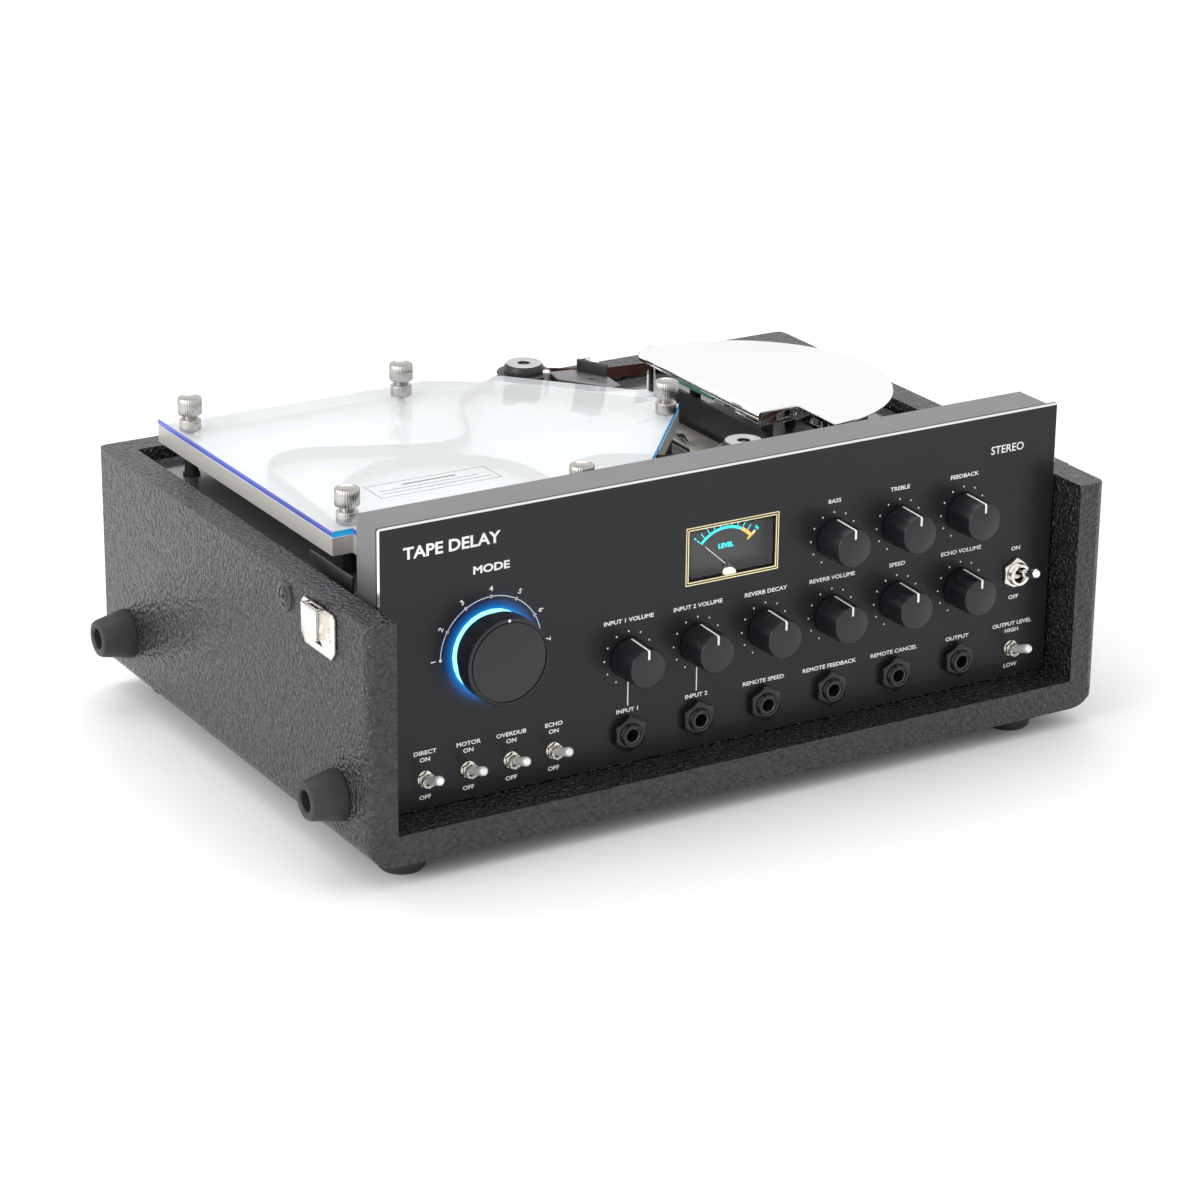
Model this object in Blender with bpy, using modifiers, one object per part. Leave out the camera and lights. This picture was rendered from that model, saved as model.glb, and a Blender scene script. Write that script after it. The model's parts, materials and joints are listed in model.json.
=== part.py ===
"""Portable tape echo machine in a covered wooden case, with its lid off.

Metres, +Z up, origin on the floor below the middle of the case, front towards -Y.
"""
import math

import bmesh
import bpy
from mathutils import Matrix, Vector

# ---------------------------------------------------------------- driving dimensions
GAP = 0.0003                      # clearance between pieces that touch

# feet
FOOT_HEIGHT = 0.010
FOOT_TOP_RADIUS = 0.0125
FOOT_TIP_RADIUS = 0.011
FOOT_HOLE_RADIUS = 0.0045
FOOT_HOLE_DEPTH = 0.004
FOOT_EDGE = 0.001                 # chamfer round every foot's tip
FOOT_INSET_LEFT = 0.027
FOOT_INSET_RIGHT = 0.038
FOOT_INSET_FRONT = 0.020
FOOT_INSET_REAR = 0.024
SIDE_FOOT_LENGTH = 0.017
SIDE_FOOT_BASE_RADIUS = 0.0125
SIDE_FOOT_TIP_RADIUS = 0.0095
SIDE_FOOT_HOLE_RADIUS = 0.005
SIDE_FOOT_HOLE_DEPTH = 0.011
SIDE_FOOT_RISE = 0.028            # above the case's underside
SIDE_FOOT_INSET = 0.030           # from the case's front and back

# case
CASE_WIDTH = 0.410
CASE_DEPTH = 0.290
CASE_HEIGHT = 0.1185
WALL = 0.015
BOARD = 0.015
CASE_LOWER_RADIUS = 0.013         # long lower edges
CASE_EDGE_RADIUS = 0.004          # upright corners

# case hardware
LATCH_WIDTH = 0.032
LATCH_HEIGHT = 0.023
LATCH_PLATE = 0.0012
LATCH_BOX_WIDTH = 0.015
LATCH_BOX_HEIGHT = 0.019
LATCH_BOX_STAND = 0.006
LATCH_FROM_FRONT = 0.045          # plate's middle behind the case's front
LATCH_DROP = 0.0025               # plate's top below the wall's top
HANDLE_LENGTH = 0.170
HANDLE_WIDTH = 0.026
HANDLE_STRAP = 0.005
HANDLE_PAD = 0.022
HANDLE_RISE = 0.070               # strap's middle above the case's underside

# front panel and the folded frame behind it
PANEL_SETBACK = 0.020
PANEL_SIDE_GAP = 0.00125
PANEL_RISE = 0.0375               # above the case's walls
PANEL_THICKNESS = 0.003
PANEL_CHAMFER = 0.0008
FRAME_SHEET = 0.0015
FRAME_FLANGE = 0.024
FRAME_INSET = 0.0035
FRAME_TOP_INSET = 0.0012

# rows and columns of controls; heights are above the case's underside
JACK_ROW = 0.0316
KNOB_ROW = 0.0697
UPPER_ROW = 0.1088
FIRST_COLUMN_FROM_MODE = 0.0736
LAST_COLUMN_INSET = 0.05535
COLUMN_COUNT = 6
UPPER_COUNT = 3
MODE_INSET = 0.0579
MODE_ROW = 0.0874
TOGGLE_ROW = 0.0308
TOGGLE_INSET = 0.02325
TOGGLE_PITCH = 0.0227
TOGGLE_COUNT = 4
POWER_INSET = 0.02175
POWER_ROW = 0.0712

# rotary controls
KNOB_RADIUS = 0.010
KNOB_LENGTH = 0.0185
KNOB_STAND = 0.0008
KNOB_RECESS_RADIUS = 0.0065
KNOB_RECESS_DEPTH = 0.006
SHAFT_RADIUS = 0.003
SHAFT_REACH = 0.010               # behind the panel's face
BUSHING_WALL = 0.0009
BUSHING_STAND = 0.004
POT_RADIUS = 0.008
POT_DEPTH = 0.009
MODE_DISC_RADIUS = 0.021
MODE_DISC_THICKNESS = 0.005
MODE_HUB_RADIUS = 0.016
MODE_STAND = 0.017
MODE_SWITCH_RADIUS = 0.014
RING_INNER_RADIUS = 0.017
RING_OUTER_RADIUS = 0.020
RING_GROOVE = 0.002
RING_STAND = 0.0002               # in front of the panel's face
MODE_EDGE = 0.0006
KNOB_EDGE = 0.0005

# jacks
JACK_BORE_RADIUS = 0.0033
JACK_BORE_DEPTH = 0.030
JACK_BARREL_RADIUS = 0.00575
JACK_STAND = 0.006
JACK_NUT_RADIUS = 0.0083
JACK_NUT_HEIGHT = 0.0032
JACK_BODY_RADIUS = 0.008
JACK_BODY_LENGTH = 0.026

# toggle switches
TOGGLE_PIVOT = 0.002              # in front of the panel's face
TOGGLE_LENGTH = 0.0150
TOGGLE_TIP_RADIUS = 0.0025
TOGGLE_NECK_RADIUS = 0.0012
TOGGLE_BALL_RADIUS = 0.0019
TOGGLE_BORE_RADIUS = 0.0024
TOGGLE_ANGLE = 20.0
TOGGLE_STAND = 0.0042
TOGGLE_BODY = 0.007
POWER_LENGTH = 0.0182
POWER_TIP_RADIUS = 0.0027
POWER_NECK_RADIUS = 0.0016
POWER_BALL_RADIUS = 0.0032
POWER_BORE_RADIUS = 0.0038
POWER_BUSHING_RADIUS = 0.0057
POWER_ANGLE = 18.0
POWER_STAND = 0.0055
POWER_NUT_RADIUS = 0.0080
POWER_NUT_HEIGHT = 0.002
POWER_BODY_WIDTH = 0.015
POWER_BODY_HEIGHT = 0.028
POWER_BODY_DEPTH = 0.022

# circuit board behind the controls
BOARD_SHEET = 0.0016
BOARD_MARGIN = 0.005              # beyond the rotary controls' bodies
BOARD_JACK_CLEARANCE = 0.003
BOARD_ABOVE_JACKS = 0.010
BOARD_SWITCH_CLEARANCE = 0.002

# level meter
METER_WIDTH = 0.0525
METER_HEIGHT = 0.0295
METER_ROW = 0.11325
METER_FROM_COLUMN = 0.0573
METER_RIM = 0.0028
METER_DEPTH = 0.0255
METER_HOLLOW = 0.007
METER_GLASS = 0.001
NEEDLE_LENGTH = 0.017
NEEDLE_WIDTH = 0.0007
NEEDLE_DROP = 0.0095              # pivot below the meter's middle
NEEDLE_REST = -48.0               # degrees from upright, left is negative
NEEDLE_HUB_RADIUS = 0.0016

# deck
DECK_RISE = 0.112                 # deck's top above the case's underside
DECK_SHEET = 0.002
DECK_SIDE_GAP = 0.002
SKIRT = 0.0015

# tape and its path; heights are above the deck
TAPE_WIDTH = 0.00635
TAPE_THICKNESS = 0.0004
TAPE_RISE = 0.0128
ROLLER_RADIUS = 0.010
ROLLER_FLANGE_RADIUS = 0.0142
ROLLER_FLANGE = 0.0010
ROLLER_CAP_HEIGHT = 0.0048
ROLLER_FOOT = 0.0100
ROLLER_WELL_RADIUS = 0.0045
ROLLER_WELL_DEPTH = 0.0015
ROLLER_EDGE = 0.001
STUD_RADIUS = 0.0025
GUIDE_PIN_RADIUS = 0.002
GUIDE_POST_RADIUS = 0.0025
GUIDE_FOOT_RADIUS = 0.006
GUIDE_FOOT = 0.003
GUIDE_RISE = 0.0025               # pins above the tape
GUIDE_BRACKET_WIDTH = 0.008
GUIDE_BRACKET_OFFSET = (0.001, 0.0035)  # left of the pin and behind it
GUIDE_BRACKET_SHEET = 0.002
GUIDE_BRACKET_RISE = 0.002        # above the pins
REAR_ROLLER_INSET = (0.0375, 0.013)     # from the tank's right and back
FRONT_ROLLER_INSET = (0.006, 0.041)     # from the tank's right and front
GUIDE_PIN_OFFSET = (0.001, 0.0215)      # right of the tank, and in from its back
GUIDE_POST_OFFSET = (0.009, 0.0762)     # from the cover's straight edge and its centre
CAPSTAN_RADIUS = 0.003
FLYWHEEL_RADIUS = 0.028
FLYWHEEL_HEIGHT = 0.012
FLYWHEEL_DROP = 0.014             # below the deck's underside
CAPSTAN_RISE = 0.004              # above the tape
CAPSTAN_EDGE = 0.0005
BEARING_RADIUS = 0.0052
BEARING_HEIGHT = 0.006
MOTOR_RADIUS = 0.026
MOTOR_BORE_DEPTH = 0.020
MOTOR_EDGE = 0.002
MOTOR_DROP = 0.006                # below the flywheel
PINCH_RADIUS = 0.009
PINCH_MARGIN = 0.002
PINCH_ARM_REACH = 0.0252
PINCH_ARM_RADIUS = 0.0045
PINCH_ARM_RISE = 0.004
PINCH_ARM_HEIGHT = 0.0035
PINCH_PIN_RADIUS = 0.0022
PINCH_PIN_RISE = 0.0015           # above the roller
PINCH_STUD_RISE = 0.001           # above the arm
CAPSTAN_RUN = 0.020               # along the tape from the last head

# tape tank
TANK_LEFT_INSET = 0.009
TANK_BACK_INSET = 0.006
TANK_FRONT_INSET = 0.006
TANK_COVER_GAP = 0.0205
TANK_WALL = 0.0015
TANK_FLOOR_RISE = 0.011
TANK_HEIGHT = 0.0087
TANK_NOTCH = (0.0105, 0.0265)     # cut out of its front left corner
TANK_FRONT_RUN = 0.0945           # front corner, in from the tank's right
TANK_SIDE_RUN = (0.1055, 0.083)   # right side's two ends, from the tank's back
TANK_BACK_CORNERS = ((0.0385, 0.040), (0.056, 0.0205))  # in from its right and back
TANK_BACK_RUN = 0.087             # back corner, in from the tank's right
LID_THICKNESS = 0.003
POST_RADIUS = 0.003
SLOT_WIDTH = 0.012

# the tape's loose folds, which fill the tank: each one's place from the tank's left as a
# share of its width, from its front as a share of its depth, its radius as a share of the
# width that has room for them, and 1 where the tape runs round it anticlockwise
FOLD_ASPECT = 1.11                # the folds' width over their depth
TAPE_FOLDS = (
    (0.696, 0.222, 0.100, 1),
    (0.571, 0.139, 0.023, -1),
    (0.338, 0.301, 0.208, 1),
    (0.088, 0.241, 0.033, -1),
    (0.183, 0.583, 0.104, -1),
    (0.463, 0.713, 0.117, 1),
    (0.721, 0.787, 0.100, -1),
)

# thumbscrews
SCREW_HEAD_RADIUS = 0.006
SCREW_HEAD_HEIGHT = 0.010
SCREW_WAIST_RADIUS = 0.0036
SCREW_BARREL_RADIUS = 0.0055
SCREW_BARREL_HEIGHT = 0.0065
SCREW_HEIGHT = 0.0185
SCREW_STEM_RADIUS = 0.0017
SCREW_STEM_REACH = 0.005          # into the post
SCREW_EDGE = 0.0005
SCREW_TAPER = 0.0035              # tapered lower part of the head
SCREW_SHOULDER = 0.001
SCREW_BACK_LEFT = (0.0065, 0.024)       # insets from the tank's left and back
SCREW_BACK_MIDDLE = (0.1237, 0.025)     # from its left and back
SCREW_RIGHT = (0.0136, 0.1148)          # from its right and back
SCREW_FRONT_LEFT = (0.0120, 0.0345)     # from its left and front
SCREW_FRONT_MIDDLE = (0.1165, 0.0105)   # from its right and front

# head assembly under its polished cover
COVER_RADIUS = 0.077
COVER_LEFT_INSET = 0.1105         # its straight edge, from the case's right wall
COVER_CENTRE_OFFSET = 0.0165
COVER_BACK_INSET = 0.113          # its centre, from the case's back wall
COVER_RISE = 0.028                # its top above the deck
COVER_SHEET = 0.0012
COVER_LIP = 0.003
COVER_NOTCH_WIDTH = 0.0215
COVER_NOTCH_BACK = 0.043
COVER_FLANGE = 0.0075
HEAD_ARC_RADIUS = 0.052
HEAD_ARC_OFFSET_X = 0.016
HEAD_BASE_RADIUS = 0.046
HEAD_BASE_SHEET = 0.003
HEAD_WALL = 0.0025
HEAD_WALL_RISE = 0.017
HEAD_SIZE = (0.012, 0.011, 0.014)
HEAD_ANGLES = (65.0, 35.0, 5.0, -25.0, -55.0)
COVER_POST_RADIUS = 0.003
COVER_POST_X = 0.009              # from the base's straight side
COVER_POST_Y = 0.034              # either side of the cover's centre
COVER_POST_REACH = 0.014          # lone post, right of the heads' centre
COVER_FOLD_END = 0.004            # folds stop short of the round rim
HEAD_BASE_INSET = 0.001           # behind the cover's straight edge

# mains parts
INLET_X_INSET = 0.075
INLET_RISE = 0.050
INLET_WIDTH = 0.0275
INLET_HEIGHT = 0.0195
INLET_DEPTH = 0.024
INLET_FLANGE_WIDTH = 0.048
INLET_FLANGE_HEIGHT = 0.026
INLET_FLANGE = 0.003
INLET_WALL = 0.0015
INLET_RECESS = 0.019
INLET_PIN_LENGTH = 0.012
INLET_PIN_SIZE = (0.002, 0.004)
INLET_PINS = ((-0.007, -0.001), (0.007, -0.001), (0.0, 0.003))
TRANSFORMER_RADIUS = 0.045
TRANSFORMER_BORE_RADIUS = 0.012
TRANSFORMER_HEIGHT = 0.036
TRANSFORMER_EDGE = 0.010
TRANSFORMER_INSET = (0.025, 0.040)      # clear of the case's left and back walls

# ---------------------------------------------------------------- derived places
CASE_BOTTOM = FOOT_HEIGHT
CASE_TOP = CASE_BOTTOM + CASE_HEIGHT
CASE_SIDE = CASE_WIDTH / 2
CASE_FRONT = -CASE_DEPTH / 2
CASE_BACK = CASE_DEPTH / 2
INNER_SIDE = CASE_SIDE - WALL
INNER_BACK = CASE_BACK - WALL
INNER_FLOOR = CASE_BOTTOM + BOARD

PANEL_HALF = INNER_SIDE - PANEL_SIDE_GAP
PANEL_LOW = INNER_FLOOR + GAP
PANEL_TOP = CASE_TOP + PANEL_RISE
FACE_Y = CASE_FRONT + PANEL_SETBACK
SHEET_Y = FACE_Y + PANEL_THICKNESS + GAP
SHEET_BACK_Y = SHEET_Y + FRAME_SHEET
FRAME_BACK_Y = FACE_Y + PANEL_THICKNESS + FRAME_FLANGE
BODY_Y = SHEET_BACK_Y + GAP       # front of everything mounted behind the frame

MODE_X = -PANEL_HALF + MODE_INSET
FIRST_COLUMN = MODE_X + FIRST_COLUMN_FROM_MODE
LAST_COLUMN = PANEL_HALF - LAST_COLUMN_INSET
COLUMN_PITCH = (LAST_COLUMN - FIRST_COLUMN) / (COLUMN_COUNT - 1)
COLUMNS = [FIRST_COLUMN + COLUMN_PITCH * n for n in range(COLUMN_COUNT)]
TOGGLES = [-PANEL_HALF + TOGGLE_INSET + TOGGLE_PITCH * n for n in range(TOGGLE_COUNT)]
POWER_X = PANEL_HALF - POWER_INSET
METER_X = COLUMNS[COLUMN_COUNT - UPPER_COUNT] - METER_FROM_COLUMN
METER_Z = CASE_BOTTOM + METER_ROW
MODE_Z = CASE_BOTTOM + MODE_ROW
JACK_Z = CASE_BOTTOM + JACK_ROW
TOGGLE_Z = CASE_BOTTOM + TOGGLE_ROW
POWER_Z = CASE_BOTTOM + POWER_ROW
KNOB_Z = CASE_BOTTOM + KNOB_ROW
UPPER_Z = CASE_BOTTOM + UPPER_ROW
BUSHING_RADIUS = SHAFT_RADIUS + GAP + BUSHING_WALL
TOGGLE_BUSHING_RADIUS = TOGGLE_BORE_RADIUS + BUSHING_WALL

DECK_TOP = CASE_BOTTOM + DECK_RISE
DECK_HALF = INNER_SIDE - DECK_SIDE_GAP
DECK_FRONT = FRAME_BACK_Y + GAP
DECK_BACK = INNER_BACK - DECK_SIDE_GAP
TAPE_LOW = DECK_TOP + TAPE_RISE
TAPE_HIGH = TAPE_LOW + TAPE_WIDTH
TAPE_PLAY = GAP + TAPE_THICKNESS / 2

COVER_LEFT = INNER_SIDE - COVER_LEFT_INSET
COVER_X = COVER_LEFT + COVER_CENTRE_OFFSET
COVER_Y = INNER_BACK - COVER_BACK_INSET
COVER_TOP = DECK_TOP + COVER_RISE
HEAD_X = COVER_X + HEAD_ARC_OFFSET_X
HEAD_Y = COVER_Y

TANK_LEFT = -INNER_SIDE + TANK_LEFT_INSET
TANK_RIGHT = COVER_LEFT - TANK_COVER_GAP
TANK_BACK = INNER_BACK - TANK_BACK_INSET
TANK_FRONT = FRAME_BACK_Y + TANK_FRONT_INSET
TANK_LOW = DECK_TOP + TANK_FLOOR_RISE
TANK_RIM = TANK_LOW + TANK_HEIGHT
LID_LOW = TANK_RIM + GAP
LID_TOP = LID_LOW + LID_THICKNESS

REAR_ROLLER = (TANK_RIGHT - REAR_ROLLER_INSET[0], TANK_BACK - REAR_ROLLER_INSET[1])
FRONT_ROLLER = (TANK_RIGHT - FRONT_ROLLER_INSET[0], TANK_FRONT + FRONT_ROLLER_INSET[1])
GUIDE_PIN = (TANK_RIGHT + GUIDE_PIN_OFFSET[0], TANK_BACK - GUIDE_PIN_OFFSET[1])
GUIDE_POST = (COVER_LEFT + GUIDE_POST_OFFSET[0], COVER_Y + GUIDE_POST_OFFSET[1])
SCREWS = (
    (TANK_LEFT + SCREW_BACK_LEFT[0], TANK_BACK - SCREW_BACK_LEFT[1]),
    (TANK_LEFT + SCREW_BACK_MIDDLE[0], TANK_BACK - SCREW_BACK_MIDDLE[1]),
    (TANK_RIGHT - SCREW_RIGHT[0], TANK_BACK - SCREW_RIGHT[1]),
    (TANK_LEFT + SCREW_FRONT_LEFT[0], TANK_FRONT + SCREW_FRONT_LEFT[1]),
    (TANK_RIGHT - SCREW_FRONT_MIDDLE[0], TANK_FRONT + SCREW_FRONT_MIDDLE[1]),
)


# ---------------------------------------------------------------- scene set-up
def clear_scene():
    for item in list(bpy.data.objects):
        bpy.data.objects.remove(item, do_unlink=True)


clear_scene()
PARTS = bpy.data.collections.new("tape_echo_machine")
CUTTERS = bpy.data.collections.new("cutters")
bpy.context.scene.collection.children.link(PARTS)
bpy.context.scene.collection.children.link(CUTTERS)


def make_material(name, color, roughness, metallic=0.0):
    material = bpy.data.materials.new(name)
    material.use_nodes = True
    shader = material.node_tree.nodes["Principled BSDF"]
    shader.inputs["Base Color"].default_value = (*color, 1.0)
    shader.inputs["Roughness"].default_value = roughness
    shader.inputs["Metallic"].default_value = metallic
    return material


VINYL = make_material("black_vinyl", (0.03, 0.03, 0.034), 0.6)
RUBBER = make_material("black_rubber", (0.02, 0.02, 0.02), 0.7)
NICKEL = make_material("nickel", (0.72, 0.70, 0.64), 0.3, 1.0)
CHROME = make_material("chrome", (0.9, 0.9, 0.9), 0.05, 1.0)
PANEL_PAINT = make_material("panel_paint", (0.045, 0.047, 0.052), 0.35)
GREY_METAL = make_material("grey_metal", (0.33, 0.32, 0.33), 0.4, 0.6)
KNOB_PLASTIC = make_material("knob_plastic", (0.012, 0.012, 0.013), 0.35)
BLACK_PLASTIC = make_material("black_plastic", (0.015, 0.015, 0.016), 0.45)
LEVER_METAL = make_material("lever_metal", (0.85, 0.84, 0.8), 0.2, 1.0)
RING_PLASTIC = make_material("ring_plastic", (0.55, 0.85, 1.0), 0.3)
CIRCUIT = make_material("circuit_board", (0.05, 0.22, 0.12), 0.5)
METER_PLASTIC = make_material("meter_plastic", (0.85, 0.8, 0.62), 0.4)
CLEAR = make_material("clear_acrylic", (0.86, 0.92, 0.97), 0.05)
TRAY_METAL = make_material("tray_metal", (0.66, 0.64, 0.61), 0.35, 0.4)
DECK_METAL = make_material("deck_metal", (0.12, 0.12, 0.13), 0.2, 0.5)
TAPE_FILM = make_material("tape_film", (0.10, 0.045, 0.03), 0.35)
STEEL = make_material("steel", (0.6, 0.6, 0.6), 0.3, 1.0)
COPPER = make_material("copper_winding", (0.55, 0.25, 0.08), 0.4, 0.8)


# ---------------------------------------------------------------- modelling helpers
def add_object(name, data, material=None):
    """A part when it has a material, and otherwise a hidden cutter."""
    item = bpy.data.objects.new(name, data)
    if material is None:
        CUTTERS.objects.link(item)
        item.hide_render = True
        item.display_type = "WIRE"
    else:
        data.materials.append(material)
        PARTS.objects.link(item)
    return item


def mesh_from(bm, name):
    """The mesh, smooth over its round faces and sharp at its corners."""
    mesh = bpy.data.meshes.new(name)
    bm.to_mesh(mesh)
    bm.free()
    mesh.shade_smooth()
    mesh.set_sharp_from_angle(angle=math.radians(40))
    return mesh


def add_cube(bm, low, high):
    size = Vector(high) - Vector(low)
    middle = (Vector(high) + Vector(low)) / 2
    place = Matrix.Translation(middle) @ Matrix.Diagonal((*size, 1.0))
    return bmesh.ops.create_cube(bm, size=1.0, matrix=place)["verts"]


def box(name, low, high, material=None):
    bm = bmesh.new()
    add_cube(bm, low, high)
    return add_object(name, mesh_from(bm, name), material)


def boxes(name, spans):
    """Several separate boxes in one cutter."""
    bm = bmesh.new()
    for low, high in spans:
        add_cube(bm, low, high)
    return add_object(name, mesh_from(bm, name))


AIM = {
    "+Z": Matrix.Identity(4),
    "-Y": Matrix.Rotation(math.radians(90), 4, "X"),
    "-X": Matrix.Rotation(math.radians(-90), 4, "Y"),
}


def add_rod(bm, start, end, radius, segments):
    """A cylinder between two points."""
    start, end = Vector(start), Vector(end)
    along = end - start
    turn = along.to_track_quat("Z", "X").to_matrix().to_4x4()
    place = Matrix.Translation((start + end) / 2) @ turn
    bmesh.ops.create_cone(bm, cap_ends=True, segments=segments, radius1=radius,
                          radius2=radius, depth=along.length, matrix=place)


def rods(name, spans, segments=16):
    """Separate rods, each (start, end, radius), in one cutter."""
    bm = bmesh.new()
    for start, end, radius in spans:
        add_rod(bm, start, end, radius, segments)
    return add_object(name, mesh_from(bm, name))


def turned(name, profile, steps, place, aim="+Z", material=None, closed=False):
    """A profile of (radius, height) points, outer side downwards, turned about its axis."""
    bm = bmesh.new()
    points = [bm.verts.new((radius, 0.0, height)) for radius, height in profile]
    pairs = list(zip(points, points[1:]))
    if closed:
        pairs.append((points[-1], points[0]))
    for first, second in pairs:
        bm.edges.new((first, second))
    item = add_object(name, mesh_from(bm, name), material)
    screw = item.modifiers.new("turn", "SCREW")
    screw.axis = "Z"
    screw.steps = steps
    screw.render_steps = steps
    screw.use_merge_vertices = True
    screw.merge_threshold = 0.00001
    item.matrix_world = Matrix.Translation(place) @ AIM[aim]
    return item


def plate(name, outline, low, high, material=None):
    """A flat outline of (x, y) points with a thickness from low to high."""
    curve = bpy.data.curves.new(name, "CURVE")
    curve.dimensions = "2D"
    curve.fill_mode = "BOTH"
    curve.extrude = (high - low) / 2
    curve.resolution_u = 1
    spline = curve.splines.new("POLY")
    spline.points.add(len(outline) - 1)
    for point, (x, y) in zip(spline.points, outline):
        point.co = (x, y, 0.0, 1.0)
    spline.use_cyclic_u = True
    guide = add_object(name + "_outline", curve)
    mesh = settled_mesh(guide)
    bpy.data.objects.remove(guide, do_unlink=True)
    bm = bmesh.new()
    bm.from_mesh(mesh)
    bmesh.ops.remove_doubles(bm, verts=bm.verts, dist=0.00001)
    bmesh.ops.translate(bm, verts=bm.verts, vec=(0.0, 0.0, (low + high) / 2))
    bmesh.ops.recalc_face_normals(bm, faces=bm.faces)
    bpy.data.meshes.remove(mesh)
    return add_object(name, mesh_from(bm, name), material)


def combine(item, other, operation):
    step = item.modifiers.new(operation.lower(), "BOOLEAN")
    step.operation = operation
    step.solver = "EXACT"
    step.object = other


def cut(item, cutter):
    combine(item, cutter, "DIFFERENCE")


def join(item, piece):
    combine(item, piece, "UNION")


def chamfer(item, width):
    step = item.modifiers.new("edges", "BEVEL")
    step.width = width
    step.limit_method = "ANGLE"
    step.angle_limit = math.radians(50)


def settled_mesh(item):
    """The object's mesh with its modifiers worked in, for copies to share."""
    bpy.context.view_layer.update()
    graph = bpy.context.evaluated_depsgraph_get()
    return bpy.data.meshes.new_from_object(item.evaluated_get(graph))


def repeat(first, names, places):
    """Settle the first piece, then put copies of it at the other places."""
    mesh = settled_mesh(first)
    first.modifiers.clear()
    first.data = mesh
    for name, place in zip(names, places):
        copy = bpy.data.objects.new(name, mesh)
        PARTS.objects.link(copy)
        copy.matrix_world = Matrix.Translation(place) @ first.matrix_world.to_3x3().to_4x4()


def arc(centre, radius, start, end, steps):
    """Points on a circle from one angle to another, in degrees."""
    points = []
    for n in range(steps + 1):
        angle = math.radians(start + (end - start) * n / steps)
        points.append((centre[0] + radius * math.cos(angle), centre[1] + radius * math.sin(angle)))
    return points


def capsule(first, second, radius, steps=6):
    """The outline round two points."""
    aim = math.degrees(math.atan2(second[1] - first[1], second[0] - first[0]))
    return (arc(second, radius, aim - 90, aim + 90, steps)
            + arc(first, radius, aim + 90, aim + 270, steps))


# ---------------------------------------------------------------- case and its hardware
def rounded_box(name, low, high, material):
    """A box with round long lower edges and eased upright corners."""
    bm = bmesh.new()
    add_cube(bm, low, high)
    bm.edges.ensure_lookup_table()

    def runs(edge, axis):
        along = edge.verts[1].co - edge.verts[0].co
        return abs(along[axis]) > 0.9 * along.length

    lower = [e for e in bm.edges if runs(e, 1) and e.verts[0].co.z < low[2] + GAP]
    bmesh.ops.bevel(bm, geom=lower, offset=CASE_LOWER_RADIUS, segments=5, profile=0.5,
                    affect="EDGES")
    upright = [e for e in bm.edges if runs(e, 2)]
    bmesh.ops.bevel(bm, geom=upright, offset=CASE_EDGE_RADIUS, segments=2, profile=0.5,
                    affect="EDGES")
    return add_object(name, mesh_from(bm, name), material)


def make_case():
    case = rounded_box("cabinet", (-CASE_SIDE, CASE_FRONT, CASE_BOTTOM),
                       (CASE_SIDE, CASE_BACK, CASE_TOP), VINYL)
    over = CASE_EDGE_RADIUS
    cut(case, box("case_hollow", (-INNER_SIDE, CASE_FRONT - over, INNER_FLOOR),
                  (INNER_SIDE, INNER_BACK, CASE_TOP + over)))
    x, z = inlet_centre()
    flange = (INLET_FLANGE_WIDTH / 2 + GAP, INLET_FLANGE_HEIGHT / 2 + GAP)
    body = (INLET_WIDTH / 2 + GAP, INLET_HEIGHT / 2 + GAP)
    cut(case, box("inlet_seat", (x - flange[0], CASE_BACK - INLET_FLANGE - 2 * GAP, z - flange[1]),
                  (x + flange[0], CASE_BACK + over, z + flange[1])))
    cut(case, box("inlet_passage", (x - body[0], INNER_BACK - over, z - body[1]),
                  (x + body[0], CASE_BACK, z + body[1])))


def foot_profile(base_radius, tip_radius, length, hole_radius, hole_depth):
    """A tapered rubber foot whose tip is up, with a screw well in its tip."""
    return [(0.0, length - hole_depth), (hole_radius, length - hole_depth), (hole_radius, length),
            (tip_radius - FOOT_EDGE, length), (tip_radius, length - FOOT_EDGE),
            (base_radius, 0.0), (0.0, 0.0)]


def make_feet():
    profile = foot_profile(FOOT_TOP_RADIUS, FOOT_TIP_RADIUS, FOOT_HEIGHT - GAP,
                           FOOT_HOLE_RADIUS, FOOT_HOLE_DEPTH)
    top = CASE_BOTTOM - GAP
    left, right = -CASE_SIDE + FOOT_INSET_LEFT, CASE_SIDE - FOOT_INSET_RIGHT
    front, rear = CASE_FRONT + FOOT_INSET_FRONT, CASE_BACK - FOOT_INSET_REAR
    first = turned("foot_front_left", profile, 20, (left, front, top), material=RUBBER)
    first.matrix_world = Matrix.Translation((left, front, top)) @ Matrix.Rotation(math.pi, 4, "X")
    names = ("foot_front_right", "foot_rear_left", "foot_rear_right")
    repeat(first, names, ((right, front, top), (left, rear, top), (right, rear, top)))


def make_side_feet():
    profile = foot_profile(SIDE_FOOT_BASE_RADIUS, SIDE_FOOT_TIP_RADIUS, SIDE_FOOT_LENGTH - GAP,
                           SIDE_FOOT_HOLE_RADIUS, SIDE_FOOT_HOLE_DEPTH)
    x, z = -CASE_SIDE - GAP, CASE_BOTTOM + SIDE_FOOT_RISE
    front = (x, CASE_FRONT + SIDE_FOOT_INSET, z)
    rear = (x, CASE_BACK - SIDE_FOOT_INSET, z)
    first = turned("side_foot_front", profile, 20, front, "-X", RUBBER)
    repeat(first, ("side_foot_rear",), (rear,))


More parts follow.
